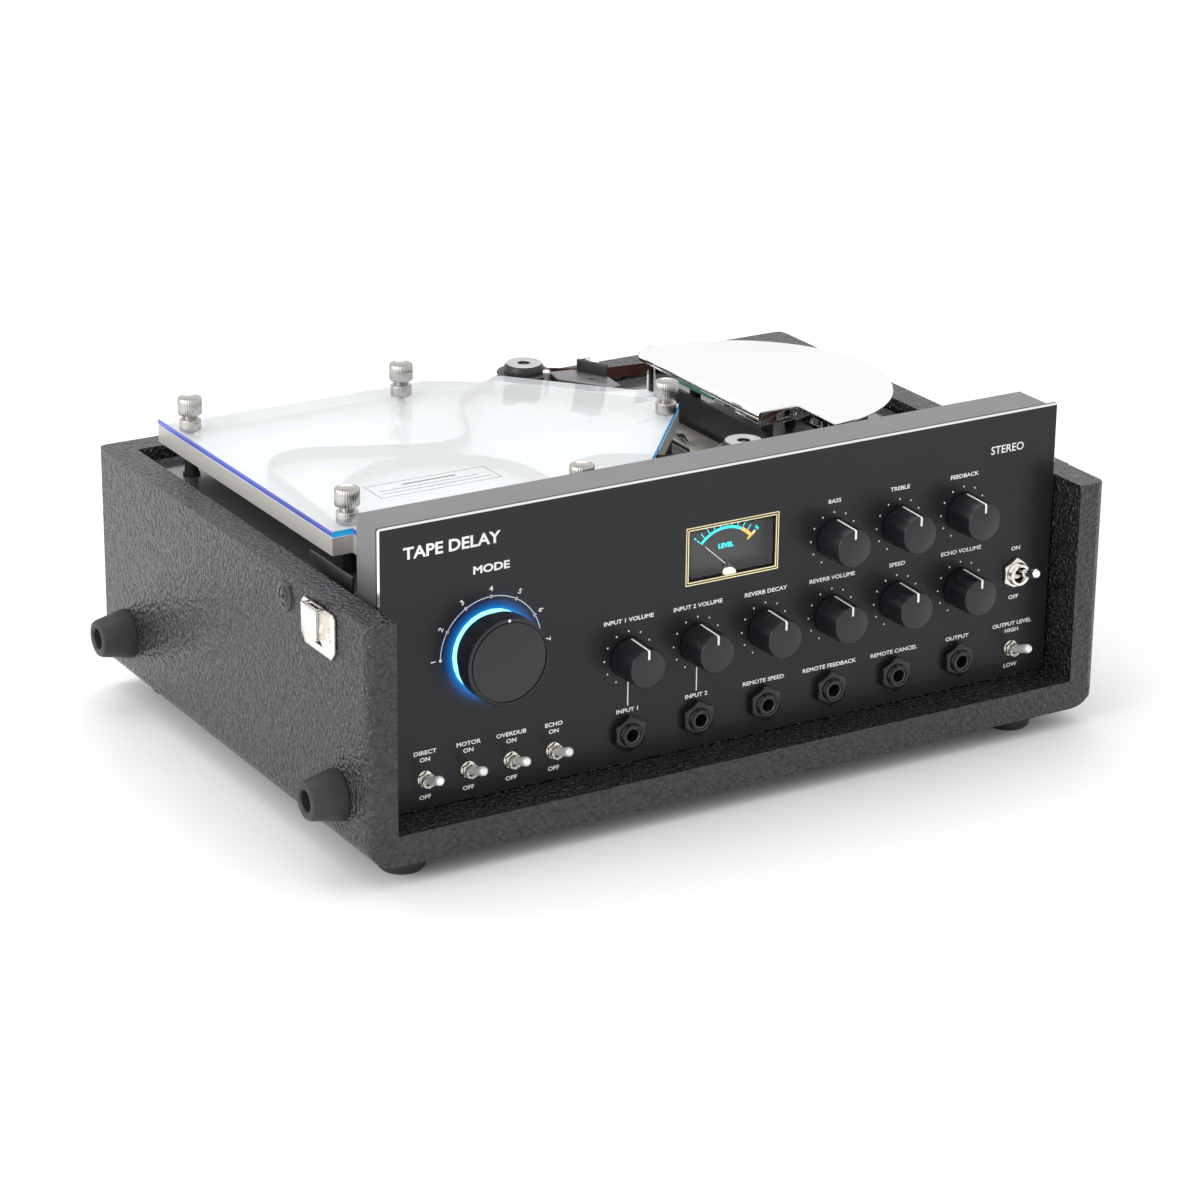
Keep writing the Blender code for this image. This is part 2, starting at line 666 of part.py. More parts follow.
def make_latch(name, side):
    """A pressed keeper plate with a hollow hook box; side is -1 for left, 1 for right."""
    wall = CASE_SIDE + GAP
    y = CASE_FRONT + LATCH_FROM_FRONT
    top = CASE_TOP - LATCH_DROP
    half, box_half = LATCH_WIDTH / 2, LATCH_BOX_WIDTH / 2

    def span(near, far, low_y, high_y, low_z, high_z):
        xs = sorted((side * near, side * far))
        return (xs[0], low_y, low_z), (xs[1], high_y, high_z)

    face = wall + LATCH_PLATE
    outer = wall + LATCH_BOX_STAND
    latch = box(name, *span(wall, face, y - half, y + half, top - LATCH_HEIGHT, top), NICKEL)
    hook = box(name + "_hook", *span(face - LATCH_PLATE / 2, outer, y - box_half, y + box_half,
                                     top - LATCH_BOX_HEIGHT, top))
    join(latch, hook)
    inset = LATCH_PLATE
    hollow = box(name + "_hollow", *span(face, outer - inset, y - box_half + inset,
                                         y + box_half - inset, top - LATCH_BOX_HEIGHT - GAP,
                                         top - inset))
    cut(latch, hollow)


def make_handle():
    """A strap with a pad at each end and room for fingers under it."""
    wall = CASE_SIDE + GAP
    outer = CASE_SIDE + SIDE_FOOT_LENGTH
    half, pad = HANDLE_LENGTH / 2, HANDLE_PAD
    slope = outer - wall
    outside = [(wall, -half), (wall + HANDLE_STRAP, -half), (wall + HANDLE_STRAP, -half + pad),
               (outer, -half + pad + slope)]
    inside = [(outer - HANDLE_STRAP, half - pad - slope - HANDLE_STRAP),
              (wall, half - pad - HANDLE_STRAP)]
    upper = [(x, -y) for x, y in reversed(outside)]
    lower = [(x, -y) for x, y in reversed(inside)]
    strap = plate("carry_handle", outside + upper + inside[::-1] + lower[::-1],
                  -HANDLE_WIDTH / 2, HANDLE_WIDTH / 2, RUBBER)
    strap.location.z = CASE_BOTTOM + HANDLE_RISE


# ---------------------------------------------------------------- front panel
def control_holes(extra):
    """A rod through the panel and its frame for each round control."""
    spans = []
    for x in COLUMNS:
        spans.append((x, KNOB_Z, BUSHING_RADIUS))
        spans.append((x, JACK_Z, JACK_BARREL_RADIUS))
    for x in COLUMNS[COLUMN_COUNT - UPPER_COUNT:]:
        spans.append((x, UPPER_Z, BUSHING_RADIUS))
    for x in TOGGLES + [POWER_X]:
        spans.append((x, TOGGLE_Z, TOGGLE_BUSHING_RADIUS))
    spans.append((POWER_X, POWER_Z, POWER_BUSHING_RADIUS))
    spans.append((MODE_X, MODE_Z, BUSHING_RADIUS))
    front, back = FACE_Y - PANEL_THICKNESS, SHEET_BACK_Y + PANEL_THICKNESS
    return [((x, front, z), (x, back, z), radius + extra) for x, z, radius in spans]


def meter_window(name, extra):
    half, tall = METER_WIDTH / 2 + extra, METER_HEIGHT / 2 + extra
    return box(name, (METER_X - half, FACE_Y - PANEL_THICKNESS, METER_Z - tall),
               (METER_X + half, SHEET_BACK_Y + PANEL_THICKNESS, METER_Z + tall))


def make_front_panel():
    panel = box("front_panel", (-PANEL_HALF, FACE_Y, PANEL_LOW),
                (PANEL_HALF, FACE_Y + PANEL_THICKNESS, PANEL_TOP), PANEL_PAINT)
    chamfer(panel, PANEL_CHAMFER)
    cut(panel, rods("panel_holes", control_holes(GAP), 12))
    cut(panel, meter_window("panel_window", 0.0))
    inner, outer = RING_INNER_RADIUS - GAP, RING_OUTER_RADIUS + GAP
    groove = [(outer, RING_GROOVE), (outer, -RING_GROOVE), (inner, -RING_GROOVE),
              (inner, RING_GROOVE)]
    cut(panel, turned("ring_groove", groove, 24, (MODE_X, FACE_Y, MODE_Z), "-Y", closed=True))


def make_panel_frame():
    half = PANEL_HALF - FRAME_INSET
    top = PANEL_TOP - FRAME_TOP_INSET
    frame = box("panel_frame", (-half, SHEET_Y, PANEL_LOW), (half, FRAME_BACK_Y, top), GREY_METAL)
    inset = FRAME_SHEET
    cut(frame, box("frame_hollow", (-half + inset, SHEET_BACK_Y, PANEL_LOW + inset),
                   (half - inset, FRAME_BACK_Y + FRAME_FLANGE, top - inset)))
    cut(frame, rods("frame_holes", control_holes(2 * GAP), 12))
    cut(frame, meter_window("frame_window", GAP))


def make_light_ring():
    top, low = RING_STAND, -RING_GROOVE + GAP
    ring = [(RING_OUTER_RADIUS, top), (RING_OUTER_RADIUS, low), (RING_INNER_RADIUS, low),
            (RING_INNER_RADIUS, top)]
    turned("mode_light_ring", ring, 24, (MODE_X, FACE_Y, MODE_Z), "-Y", RING_PLASTIC, True)


def make_mode_knob():
    edge = MODE_EDGE
    disc_back = MODE_STAND - MODE_DISC_THICKNESS
    profile = [(0.0, MODE_STAND), (MODE_DISC_RADIUS - edge, MODE_STAND),
               (MODE_DISC_RADIUS, MODE_STAND - edge), (MODE_DISC_RADIUS, disc_back),
               (MODE_HUB_RADIUS, disc_back), (MODE_HUB_RADIUS, KNOB_STAND),
               (KNOB_RECESS_RADIUS, KNOB_STAND), (KNOB_RECESS_RADIUS, KNOB_RECESS_DEPTH),
               (SHAFT_RADIUS, KNOB_RECESS_DEPTH), (SHAFT_RADIUS, -SHAFT_REACH),
               (0.0, -SHAFT_REACH)]
    turned("mode_knob", profile, 24, (MODE_X, FACE_Y, MODE_Z), "-Y", KNOB_PLASTIC)


KNOB_NAMES = ("input_knob_1", "input_knob_2", "reverb_decay_knob", "reverb_volume_knob",
              "speed_knob", "echo_volume_knob", "bass_knob", "treble_knob", "feedback_knob")


def knob_places():
    lower = [(x, FACE_Y, KNOB_Z) for x in COLUMNS]
    upper = [(x, FACE_Y, UPPER_Z) for x in COLUMNS[COLUMN_COUNT - UPPER_COUNT:]]
    return lower + upper


def make_knobs():
    edge = KNOB_EDGE
    profile = [(0.0, KNOB_LENGTH), (KNOB_RADIUS - 2 * edge, KNOB_LENGTH),
               (KNOB_RADIUS - edge, KNOB_LENGTH - edge), (KNOB_RADIUS, KNOB_STAND),
               (KNOB_RECESS_RADIUS, KNOB_STAND), (KNOB_RECESS_RADIUS, KNOB_RECESS_DEPTH),
               (SHAFT_RADIUS, KNOB_RECESS_DEPTH), (SHAFT_RADIUS, -SHAFT_REACH),
               (0.0, -SHAFT_REACH)]
    places = knob_places()
    first = turned(KNOB_NAMES[0], profile, 16, places[0], "-Y", KNOB_PLASTIC)
    repeat(first, KNOB_NAMES[1:], places[1:])


def make_jacks():
    """Each jack is its body, threaded barrel and hexagon nut, bored from the front."""
    place = (COLUMNS[0], FACE_Y, JACK_Z)
    back = FACE_Y - BODY_Y
    profile = [(0.0, JACK_STAND), (JACK_BARREL_RADIUS, JACK_STAND), (JACK_BARREL_RADIUS, back),
               (JACK_BODY_RADIUS, back), (JACK_BODY_RADIUS, back - JACK_BODY_LENGTH),
               (0.0, back - JACK_BODY_LENGTH)]
    jack = turned("jack_1", profile, 16, place, "-Y", BLACK_PLASTIC)
    x, y, z = place
    nut = rods("jack_nut", [((x, y - GAP, z), (x, y - GAP - JACK_NUT_HEIGHT, z), JACK_NUT_RADIUS)], 6)
    front = y - JACK_STAND
    bore = rods("jack_bore", [((x, front - JACK_STAND, z), (x, front + JACK_BORE_DEPTH, z),
                               JACK_BORE_RADIUS)], 16)
    join(jack, nut)
    cut(jack, bore)
    names = [f"jack_{n}" for n in range(2, COLUMN_COUNT + 1)]
    repeat(jack, names, [(column, FACE_Y, JACK_Z) for column in COLUMNS[1:]])


def lever_profile(length, tip, neck, ball):
    """A bat lever along +Z whose ball is at the origin."""
    shoulder = ball * math.cos(math.radians(45))
    return [(0.0, length), (tip * 0.7, length - tip * 0.15), (tip, length - tip * 0.8),
            (neck, shoulder * 1.6), (shoulder, shoulder), (ball, 0.0), (shoulder, -shoulder),
            (0.0, -ball)]


def tilted(place, degrees):
    return Matrix.Translation(place) @ Matrix.Rotation(math.radians(90 - degrees), 4, "X")


def make_toggles():
    profile = lever_profile(TOGGLE_LENGTH, TOGGLE_TIP_RADIUS, TOGGLE_NECK_RADIUS,
                            TOGGLE_BALL_RADIUS)
    y = FACE_Y - TOGGLE_PIVOT
    places = [(x, y, TOGGLE_Z) for x in TOGGLES + [POWER_X]]
    first = turned("direct_toggle", profile, 12, places[0], material=LEVER_METAL)
    first.matrix_world = tilted(places[0], TOGGLE_ANGLE)
    names = ("motor_toggle", "overdub_toggle", "echo_toggle", "output_level_toggle")
    repeat(first, names, places[1:])


def make_power_switch():
    place = (POWER_X, FACE_Y - TOGGLE_PIVOT, POWER_Z)
    profile = lever_profile(POWER_LENGTH, POWER_TIP_RADIUS, POWER_NECK_RADIUS, POWER_BALL_RADIUS)
    lever = turned("power_toggle", profile, 16, place, material=LEVER_METAL)
    lever.matrix_world = tilted(place, POWER_ANGLE)
    half, tall = POWER_BODY_WIDTH / 2, POWER_BODY_HEIGHT / 2
    body = box("power_switch", (POWER_X - half, BODY_Y, POWER_Z - tall),
               (POWER_X + half, BODY_Y + POWER_BODY_DEPTH, POWER_Z + tall), NICKEL)
    front = FACE_Y - POWER_STAND
    join(body, rods("power_bushing", [((POWER_X, BODY_Y + GAP, POWER_Z), (POWER_X, front, POWER_Z),
                                       POWER_BUSHING_RADIUS)]))
    nut_y = FACE_Y - GAP
    join(body, rods("power_nut", [((POWER_X, nut_y, POWER_Z),
                                   (POWER_X, nut_y - POWER_NUT_HEIGHT, POWER_Z),
                                   POWER_NUT_RADIUS)], 6))
    cut(body, rods("power_bore", [((POWER_X, front - POWER_STAND, POWER_Z),
                                   (POWER_X, BODY_Y, POWER_Z), POWER_BORE_RADIUS)]))


def board_outline():
    """The circuit board's outline as (x, height) points, open round the jacks."""
    reach = POT_RADIUS + BOARD_MARGIN
    left = TOGGLES[0] - reach
    low, foot = JACK_Z + JACK_BODY_RADIUS + BOARD_ABOVE_JACKS, TOGGLE_Z - TOGGLE_BODY
    mode_x = MODE_X + MODE_SWITCH_RADIUS
    mode_z = MODE_Z + MODE_SWITCH_RADIUS + BOARD_SWITCH_CLEARANCE
    upper_left = COLUMNS[COLUMN_COUNT - UPPER_COUNT] - reach
    right, beyond = COLUMNS[-1] + reach, COLUMNS[-1] + JACK_BODY_RADIUS + BOARD_JACK_CLEARANCE
    under_power = POWER_Z - POWER_BODY_HEIGHT / 2 - BOARD_SWITCH_CLEARANCE
    return [
        (left, foot), (TOGGLES[-1] + TOGGLE_BODY, foot), (TOGGLES[-1] + TOGGLE_BODY, low),
        (beyond, low), (beyond, foot), (POWER_X + TOGGLE_BODY, foot),
        (POWER_X + TOGGLE_BODY, under_power), (right, under_power), (right, UPPER_Z + reach),
        (upper_left, UPPER_Z + reach), (upper_left, KNOB_Z + reach), (mode_x, KNOB_Z + reach),
        (mode_x, mode_z), (left, mode_z),
    ]


def make_control_board():
    """The circuit board with the rotary controls and small switches soldered to it."""
    back = BODY_Y + POT_DEPTH
    sheet = BOARD_SHEET
    board = plate("control_board", board_outline(), GAP - back - sheet, GAP - back, CIRCUIT)
    board.matrix_world = AIM["-Y"]
    pots = [(x, z, POT_RADIUS) for x, _, z in knob_places()]
    pots.append((MODE_X, MODE_Z, MODE_SWITCH_RADIUS))
    bodies = [((x, BODY_Y, z), (x, back, z), radius) for x, z, radius in pots]
    front = FACE_Y - BUSHING_STAND
    sleeves = [((x, BODY_Y + sheet, z), (x, front, z), BUSHING_RADIUS) for x, z, _ in pots]
    tip = FACE_Y + SHAFT_REACH + GAP
    bores = [((x, front - BUSHING_STAND, z), (x, tip, z), SHAFT_RADIUS + GAP) for x, z, _ in pots]
    join(board, rods("pot_bodies", bodies, 8))
    join(board, rods("pot_sleeves", sleeves, 8))
    cut(board, rods("pot_bores", bores, 8))
    switches = TOGGLES + [POWER_X]
    half = TOGGLE_BODY / 2
    join(board, boxes("switch_bodies", [((x - half, BODY_Y, TOGGLE_Z - TOGGLE_BODY),
                                         (x + half, back, TOGGLE_Z + TOGGLE_BODY))
                                        for x in switches]))
    face = FACE_Y - TOGGLE_STAND
    join(board, rods("switch_sleeves", [((x, BODY_Y + sheet, TOGGLE_Z), (x, face, TOGGLE_Z),
                                         TOGGLE_BUSHING_RADIUS) for x in switches], 8))
    cut(board, rods("switch_bores", [((x, face - TOGGLE_STAND, TOGGLE_Z), (x, BODY_Y, TOGGLE_Z),
                                      TOGGLE_BORE_RADIUS) for x in switches], 8))


# ---------------------------------------------------------------- level meter
def meter_box(name, inset, low_y, high_y, material=None):
    half, tall = METER_WIDTH / 2 - inset, METER_HEIGHT / 2 - inset
    return box(name, (METER_X - half, low_y, METER_Z - tall),
               (METER_X + half, high_y, METER_Z + tall), material)


def make_meter():
    front = FACE_Y + GAP
    rim = GAP + METER_RIM
    housing = meter_box("meter_housing", GAP, front, front + METER_DEPTH, METER_PLASTIC)
    cut(housing, meter_box("meter_hollow", rim, front - METER_GLASS, front + METER_HOLLOW))
    glass_y = front + METER_GLASS / 2
    meter_box("meter_window", rim + GAP, glass_y, glass_y + METER_GLASS, CLEAR)

    pivot = Vector((METER_X, (glass_y + METER_GLASS + front + METER_HOLLOW) / 2,
                    METER_Z - NEEDLE_DROP))
    hub_half = (METER_HOLLOW - 2 * METER_GLASS) / 2 - 2 * GAP
    half = NEEDLE_WIDTH / 2
    bm = bmesh.new()
    add_rod(bm, (0.0, hub_half, 0.0), (0.0, -hub_half, 0.0), NEEDLE_HUB_RADIUS, 12)
    needle = add_object("meter_needle", mesh_from(bm, "meter_needle"), BLACK_PLASTIC)
    blade = box("needle_blade", (-half, -half, 0.0), (half, half, NEEDLE_LENGTH))
    turn = Matrix.Rotation(math.radians(NEEDLE_REST), 4, "Y")
    for item in (needle, blade):
        item.matrix_world = Matrix.Translation(pivot) @ turn
    join(needle, blade)


# ---------------------------------------------------------------- tape path
def tape_wheels():
    """Each circle that the tape bends round: centre x, centre y, radius, turn.

    The turn is 1 anticlockwise and -1 clockwise, seen from above, in the tape's direction.
    """
    play = TAPE_PLAY
    width, depth = TANK_RIGHT - TANK_LEFT, TANK_BACK - TANK_FRONT
    room = min(width, depth * FOLD_ASPECT)
    folds = [(TANK_LEFT + across * width, TANK_FRONT + along * depth, radius * room, turn)
             for across, along, radius, turn in TAPE_FOLDS]
    return [
        (*REAR_ROLLER, ROLLER_RADIUS + play, -1),
        (*GUIDE_PIN, GUIDE_PIN_RADIUS + play, 1),
        (*GUIDE_POST, GUIDE_POST_RADIUS + play, -1),
        (HEAD_X, HEAD_Y, HEAD_ARC_RADIUS + play, -1),
        (*FRONT_ROLLER, ROLLER_RADIUS + play, -1),
        *folds,
    ]


def tangent_angles(first, second):
    """The angles at which a straight run leaves one wheel and meets the next, in radians."""
    dx, dy = second[0] - first[0], second[1] - first[1]
    span = math.hypot(dx, dy)
    heading = math.atan2(dy, dx)
    offset = math.asin((first[2] * first[3] - second[2] * second[3]) / span)
    run = heading + offset
    return run - first[3] * math.pi / 2, run - second[3] * math.pi / 2


def tape_points():
    """The closed path round the wheels: straight runs between arcs."""
    wheels = tape_wheels()
    count = len(wheels)
    leave, meet = {}, {}
    for n in range(count):
        following = (n + 1) % count
        leave[n], meet[following] = tangent_angles(wheels[n], wheels[following])
    points = []
    for n, (x, y, radius, turn) in enumerate(wheels):
        sweep = (leave[n] - meet[n]) * turn % (2 * math.pi) * turn
        steps = max(2, math.ceil(abs(sweep) / math.radians(15)))
        points += arc((x, y), radius, math.degrees(meet[n]), math.degrees(meet[n] + sweep), steps)
    return points


def make_tape():
    """The tape stands on edge, so it is its path with a height and a thickness."""
    bm = bmesh.new()
    path = [bm.verts.new((x, y, TAPE_LOW)) for x, y in tape_points()]
    edges = [bm.edges.new((path[n - 1], path[n])) for n in range(len(path))]
    raised = bmesh.ops.extrude_edge_only(bm, edges=edges)["geom"]
    lifted = [v for v in raised if isinstance(v, bmesh.types.BMVert)]
    bmesh.ops.translate(bm, verts=lifted, vec=(0.0, 0.0, TAPE_HIGH - TAPE_LOW))
    bmesh.ops.recalc_face_normals(bm, faces=bm.faces)
    tape = add_object("tape_loop", mesh_from(bm, "tape_loop"), TAPE_FILM)
    step = tape.modifiers.new("thickness", "SOLIDIFY")
    step.thickness = TAPE_THICKNESS
    step.offset = 0.0
    step.use_rim = True
    step.use_even_offset = True


def pinch_line():
    """A point on the tape's run past the capstan, and the run's unit direction."""
    wheels = tape_wheels()
    heads, front = wheels[3], wheels[4]
    leave, meet = tangent_angles(heads, front)
    start = Vector((heads[0] + heads[2] * math.cos(leave), heads[1] + heads[2] * math.sin(leave)))
    end = Vector((front[0] + front[2] * math.cos(meet), front[1] + front[2] * math.sin(meet)))
    along = (end - start).normalized()
    return start + along * CAPSTAN_RUN, along


def capstan_place():
    point, along = pinch_line()
    inward = Vector((along.y, -along.x))
    return point + inward * (CAPSTAN_RADIUS + TAPE_PLAY)


def pinch_place():
    point, along = pinch_line()
    outward = Vector((-along.y, along.x))
    return point + outward * (PINCH_RADIUS + TAPE_PLAY)


def pinch_pivot():
    point, along = pinch_line()
    back = Vector((-along.x, -along.y))
    return pinch_place() + back * PINCH_ARM_REACH


def make_roller(name, place):
    """A flanged roller whose bevelled cap has a well over its axle."""
    low = DECK_TOP + ROLLER_FOOT
    lower_flange = TAPE_LOW - GAP
    upper_flange = TAPE_HIGH + GAP
    cap = upper_flange + ROLLER_FLANGE
    top = cap + ROLLER_CAP_HEIGHT
    bore = STUD_RADIUS + GAP
    profile = [(ROLLER_WELL_RADIUS, top), (ROLLER_RADIUS - ROLLER_EDGE, top),
               (ROLLER_RADIUS, top - ROLLER_EDGE), (ROLLER_RADIUS, cap), (ROLLER_FLANGE_RADIUS, cap),
               (ROLLER_FLANGE_RADIUS, upper_flange), (ROLLER_RADIUS, upper_flange),
               (ROLLER_RADIUS, lower_flange), (ROLLER_FLANGE_RADIUS, lower_flange),
               (ROLLER_FLANGE_RADIUS, lower_flange - ROLLER_FLANGE), (ROLLER_RADIUS, low),
               (bore, low), (bore, top - ROLLER_WELL_DEPTH),
               (ROLLER_WELL_RADIUS, top - ROLLER_WELL_DEPTH)]
    turned(name, profile, 16, (*place, 0.0), material=RUBBER, closed=True)


def make_capstan():
    """Capstan shaft and flywheel in one, standing in the motor."""
    x, y = capstan_place()
    top = TAPE_HIGH + CAPSTAN_RISE
    wheel_top = DECK_TOP - DECK_SHEET - FLYWHEEL_DROP
    wheel_low = wheel_top - FLYWHEEL_HEIGHT
    low = motor_top() - MOTOR_BORE_DEPTH + GAP
    edge = CAPSTAN_EDGE
    profile = [(0.0, top), (CAPSTAN_RADIUS - edge, top), (CAPSTAN_RADIUS, top - edge),
               (CAPSTAN_RADIUS, wheel_top), (FLYWHEEL_RADIUS, wheel_top),
               (FLYWHEEL_RADIUS, wheel_low), (CAPSTAN_RADIUS, wheel_low), (CAPSTAN_RADIUS, low),
               (0.0, low)]
    turned("capstan", profile, 16, (x, y, 0.0), material=STEEL)


def motor_top():
    return DECK_TOP - DECK_SHEET - FLYWHEEL_DROP - FLYWHEEL_HEIGHT - MOTOR_DROP


def make_motor():
    x, y = capstan_place()
    top, low = motor_top(), INNER_FLOOR + GAP
    bore = CAPSTAN_RADIUS + GAP
    edge = MOTOR_EDGE
    profile = [(0.0, top - MOTOR_BORE_DEPTH), (bore, top - MOTOR_BORE_DEPTH), (bore, top),
               (MOTOR_RADIUS - edge, top), (MOTOR_RADIUS, top - edge), (MOTOR_RADIUS, low),
               (0.0, low)]
    turned("drive_motor", profile, 16, (x, y, 0.0), material=STEEL)


def make_pinch():
    """The pinch roller turns on a pin of its arm, and the arm turns on a deck stud."""
    wheel, pivot = pinch_place(), pinch_pivot()
    low = DECK_TOP + PINCH_ARM_RISE
    high = low + PINCH_ARM_HEIGHT
    outline = capsule((0.0, 0.0), tuple(wheel - pivot), PINCH_ARM_RADIUS)
    arm = plate("pinch_arm", outline, low, high, STEEL)
    arm.location = (*pivot, 0.0)
    offset = wheel - pivot
    pin_top = TAPE_HIGH + PINCH_MARGIN + PINCH_PIN_RISE
    pin = rods("pinch_pin", [((*offset, low + GAP), (*offset, pin_top), PINCH_PIN_RADIUS)], 12)
    bore = rods("arm_bore", [((0.0, 0.0, low - GAP), (0.0, 0.0, high + GAP), STUD_RADIUS + GAP)], 16)
    for item in (pin, bore):
        item.location = arm.location
    join(arm, pin)
    cut(arm, bore)
    top, bottom = TAPE_HIGH + PINCH_MARGIN, TAPE_LOW - PINCH_MARGIN
    inner = PINCH_PIN_RADIUS + GAP
    profile = [(PINCH_RADIUS, top), (PINCH_RADIUS, bottom), (inner, bottom), (inner, top)]
    turned("pinch_roller", profile, 16, (*wheel, 0.0), material=RUBBER, closed=True)


def make_tape_guide():
    """A foot with a pin and a post that steer the tape, and a bracket behind the pin."""
    low = DECK_TOP + GAP
    high = low + GUIDE_FOOT
    guide = plate("tape_guide", capsule(GUIDE_PIN, GUIDE_POST, GUIDE_FOOT_RADIUS), low, high, CHROME)
    top = TAPE_HIGH + GUIDE_RISE
    join(guide, rods("guide_pins", [((*GUIDE_PIN, low + GAP), (*GUIDE_PIN, top), GUIDE_PIN_RADIUS),
                                    ((*GUIDE_POST, low + GAP), (*GUIDE_POST, top),
                                     GUIDE_POST_RADIUS)], 12))
    right, front = GUIDE_PIN[0] - GUIDE_BRACKET_OFFSET[0], GUIDE_PIN[1] + GUIDE_BRACKET_OFFSET[1]
    join(guide, box("guide_bracket", (right - GUIDE_BRACKET_WIDTH, front, low + GAP),
                    (right, front + GUIDE_BRACKET_SHEET, top + GUIDE_BRACKET_RISE)))


# ---------------------------------------------------------------- tape tank
def tank_outline(inset=0.0):
    """The tank's outline, walked anticlockwise, or the same moved inwards."""
    corners = [
        (TANK_LEFT, TANK_FRONT + TANK_NOTCH[1]),
        (TANK_LEFT + TANK_NOTCH[0], TANK_FRONT + TANK_NOTCH[1]),
        (TANK_LEFT + TANK_NOTCH[0], TANK_FRONT),
        (TANK_RIGHT - TANK_FRONT_RUN, TANK_FRONT),
        (TANK_RIGHT, TANK_BACK - TANK_SIDE_RUN[0]),
        (TANK_RIGHT, TANK_BACK - TANK_SIDE_RUN[1]),
        *((TANK_RIGHT - x, TANK_BACK - y) for x, y in TANK_BACK_CORNERS),
        (TANK_RIGHT - TANK_BACK_RUN, TANK_BACK),
        (TANK_LEFT, TANK_BACK),
    ]
    if inset == 0.0:
        return corners
    moved = []
    for n, corner in enumerate(corners):
        here, before = Vector(corner), Vector(corners[n - 1])
        after = Vector(corners[(n + 1) % len(corners)])
        into, out = (here - before).normalized(), (after - here).normalized()
        mitre = (Vector((-into.y, into.x)) + Vector((-out.y, out.x))).normalized()
        reach = inset / mitre.dot(Vector((-into.y, into.x)))
        moved.append(tuple(here + mitre * reach))
    return moved


def tape_crossings():
    """Where the tape's runs cross the tank's wall, as its two ways in and out."""
    wheels = tape_wheels()
    crossings = []
    for first, second in ((wheels[4], wheels[5]), (wheels[-1], wheels[0])):
        leave, meet = tangent_angles(first, second)
        start = Vector((first[0] + first[2] * math.cos(leave), first[1] + first[2] * math.sin(leave)))
        end = Vector((second[0] + second[2] * math.cos(meet), second[1] + second[2] * math.sin(meet)))
        corners = [Vector(corner) for corner in tank_outline()]
        for n, corner in enumerate(corners):
            side = corners[n - 1], corner
            hit = crossing_of(start, end, *side)
            if hit is not None:
                crossings.append((hit, (side[1] - side[0]).angle_signed(Vector((1.0, 0.0)))))
    return crossings


def crossing_of(start, end, low, high):
    """The point where two segments cross, or None."""
    run, side = end - start, high - low
    area = run.cross(side)
    if abs(area) < 1e-12:
        return None
    along = (low - start).cross(side) / area
    across = (low - start).cross(run) / area
    if 0.0 <= along <= 1.0 and 0.0 <= across <= 1.0:
        return start + run * along
    return None


def make_tank():
    """An open tray on the deck's posts, with a slot where the tape enters and leaves."""
    tank = plate("tape_tank", tank_outline(), TANK_LOW, TANK_RIM, TRAY_METAL)
    cut(tank, plate("tank_hollow", tank_outline(TANK_WALL), TANK_LOW + TANK_WALL,
                    TANK_RIM + TANK_WALL))
    cut(tank, rods("tank_screw_holes", [((x, y, TANK_LOW - GAP), (x, y, TANK_RIM),
                                         SCREW_STEM_RADIUS + GAP) for x, y in SCREWS], 12))
    for n, (hit, turn) in enumerate(tape_crossings()):
        half = SLOT_WIDTH / 2
        slot = box(f"tank_slot_{n}", (-half, -half / 2, TAPE_LOW - 2 * GAP),
                   (half, half / 2, TANK_RIM + TANK_WALL))
        slot.matrix_world = Matrix.Translation((*hit, 0.0)) @ Matrix.Rotation(turn, 4, "Z")
        cut(tank, slot)


def make_lid():
    lid = plate("tank_lid", tank_outline(), LID_LOW, LID_TOP, CLEAR)
    cut(lid, rods("lid_screw_holes", [((x, y, LID_LOW - GAP), (x, y, LID_TOP + GAP),
                                       SCREW_STEM_RADIUS + GAP) for x, y in SCREWS], 12))


def make_thumbscrews():
    """A knurled head, a waist and a barrel, with a stem down into the post."""
    base = LID_TOP + GAP
    stem_end = -(base - (TANK_LOW - GAP) + SCREW_STEM_REACH - 2 * GAP)
    head_low = SCREW_HEIGHT - SCREW_HEAD_HEIGHT
    edge = SCREW_EDGE
    profile = [(0.0, SCREW_HEIGHT), (SCREW_HEAD_RADIUS - 2 * edge, SCREW_HEIGHT),
               (SCREW_HEAD_RADIUS, SCREW_HEIGHT - edge),
               (SCREW_HEAD_RADIUS, head_low + SCREW_TAPER), (SCREW_WAIST_RADIUS, head_low),
               (SCREW_BARREL_RADIUS, SCREW_BARREL_HEIGHT - SCREW_SHOULDER),
               (SCREW_BARREL_RADIUS, 0.0), (SCREW_STEM_RADIUS, 0.0),
               (SCREW_STEM_RADIUS, stem_end), (0.0, stem_end)]
    places = [(x, y, base) for x, y in SCREWS]
    first = turned("thumbscrew_1", profile, 12, places[0], material=NICKEL)
    repeat(first, [f"thumbscrew_{n}" for n in range(2, len(places) + 1)], places[1:])


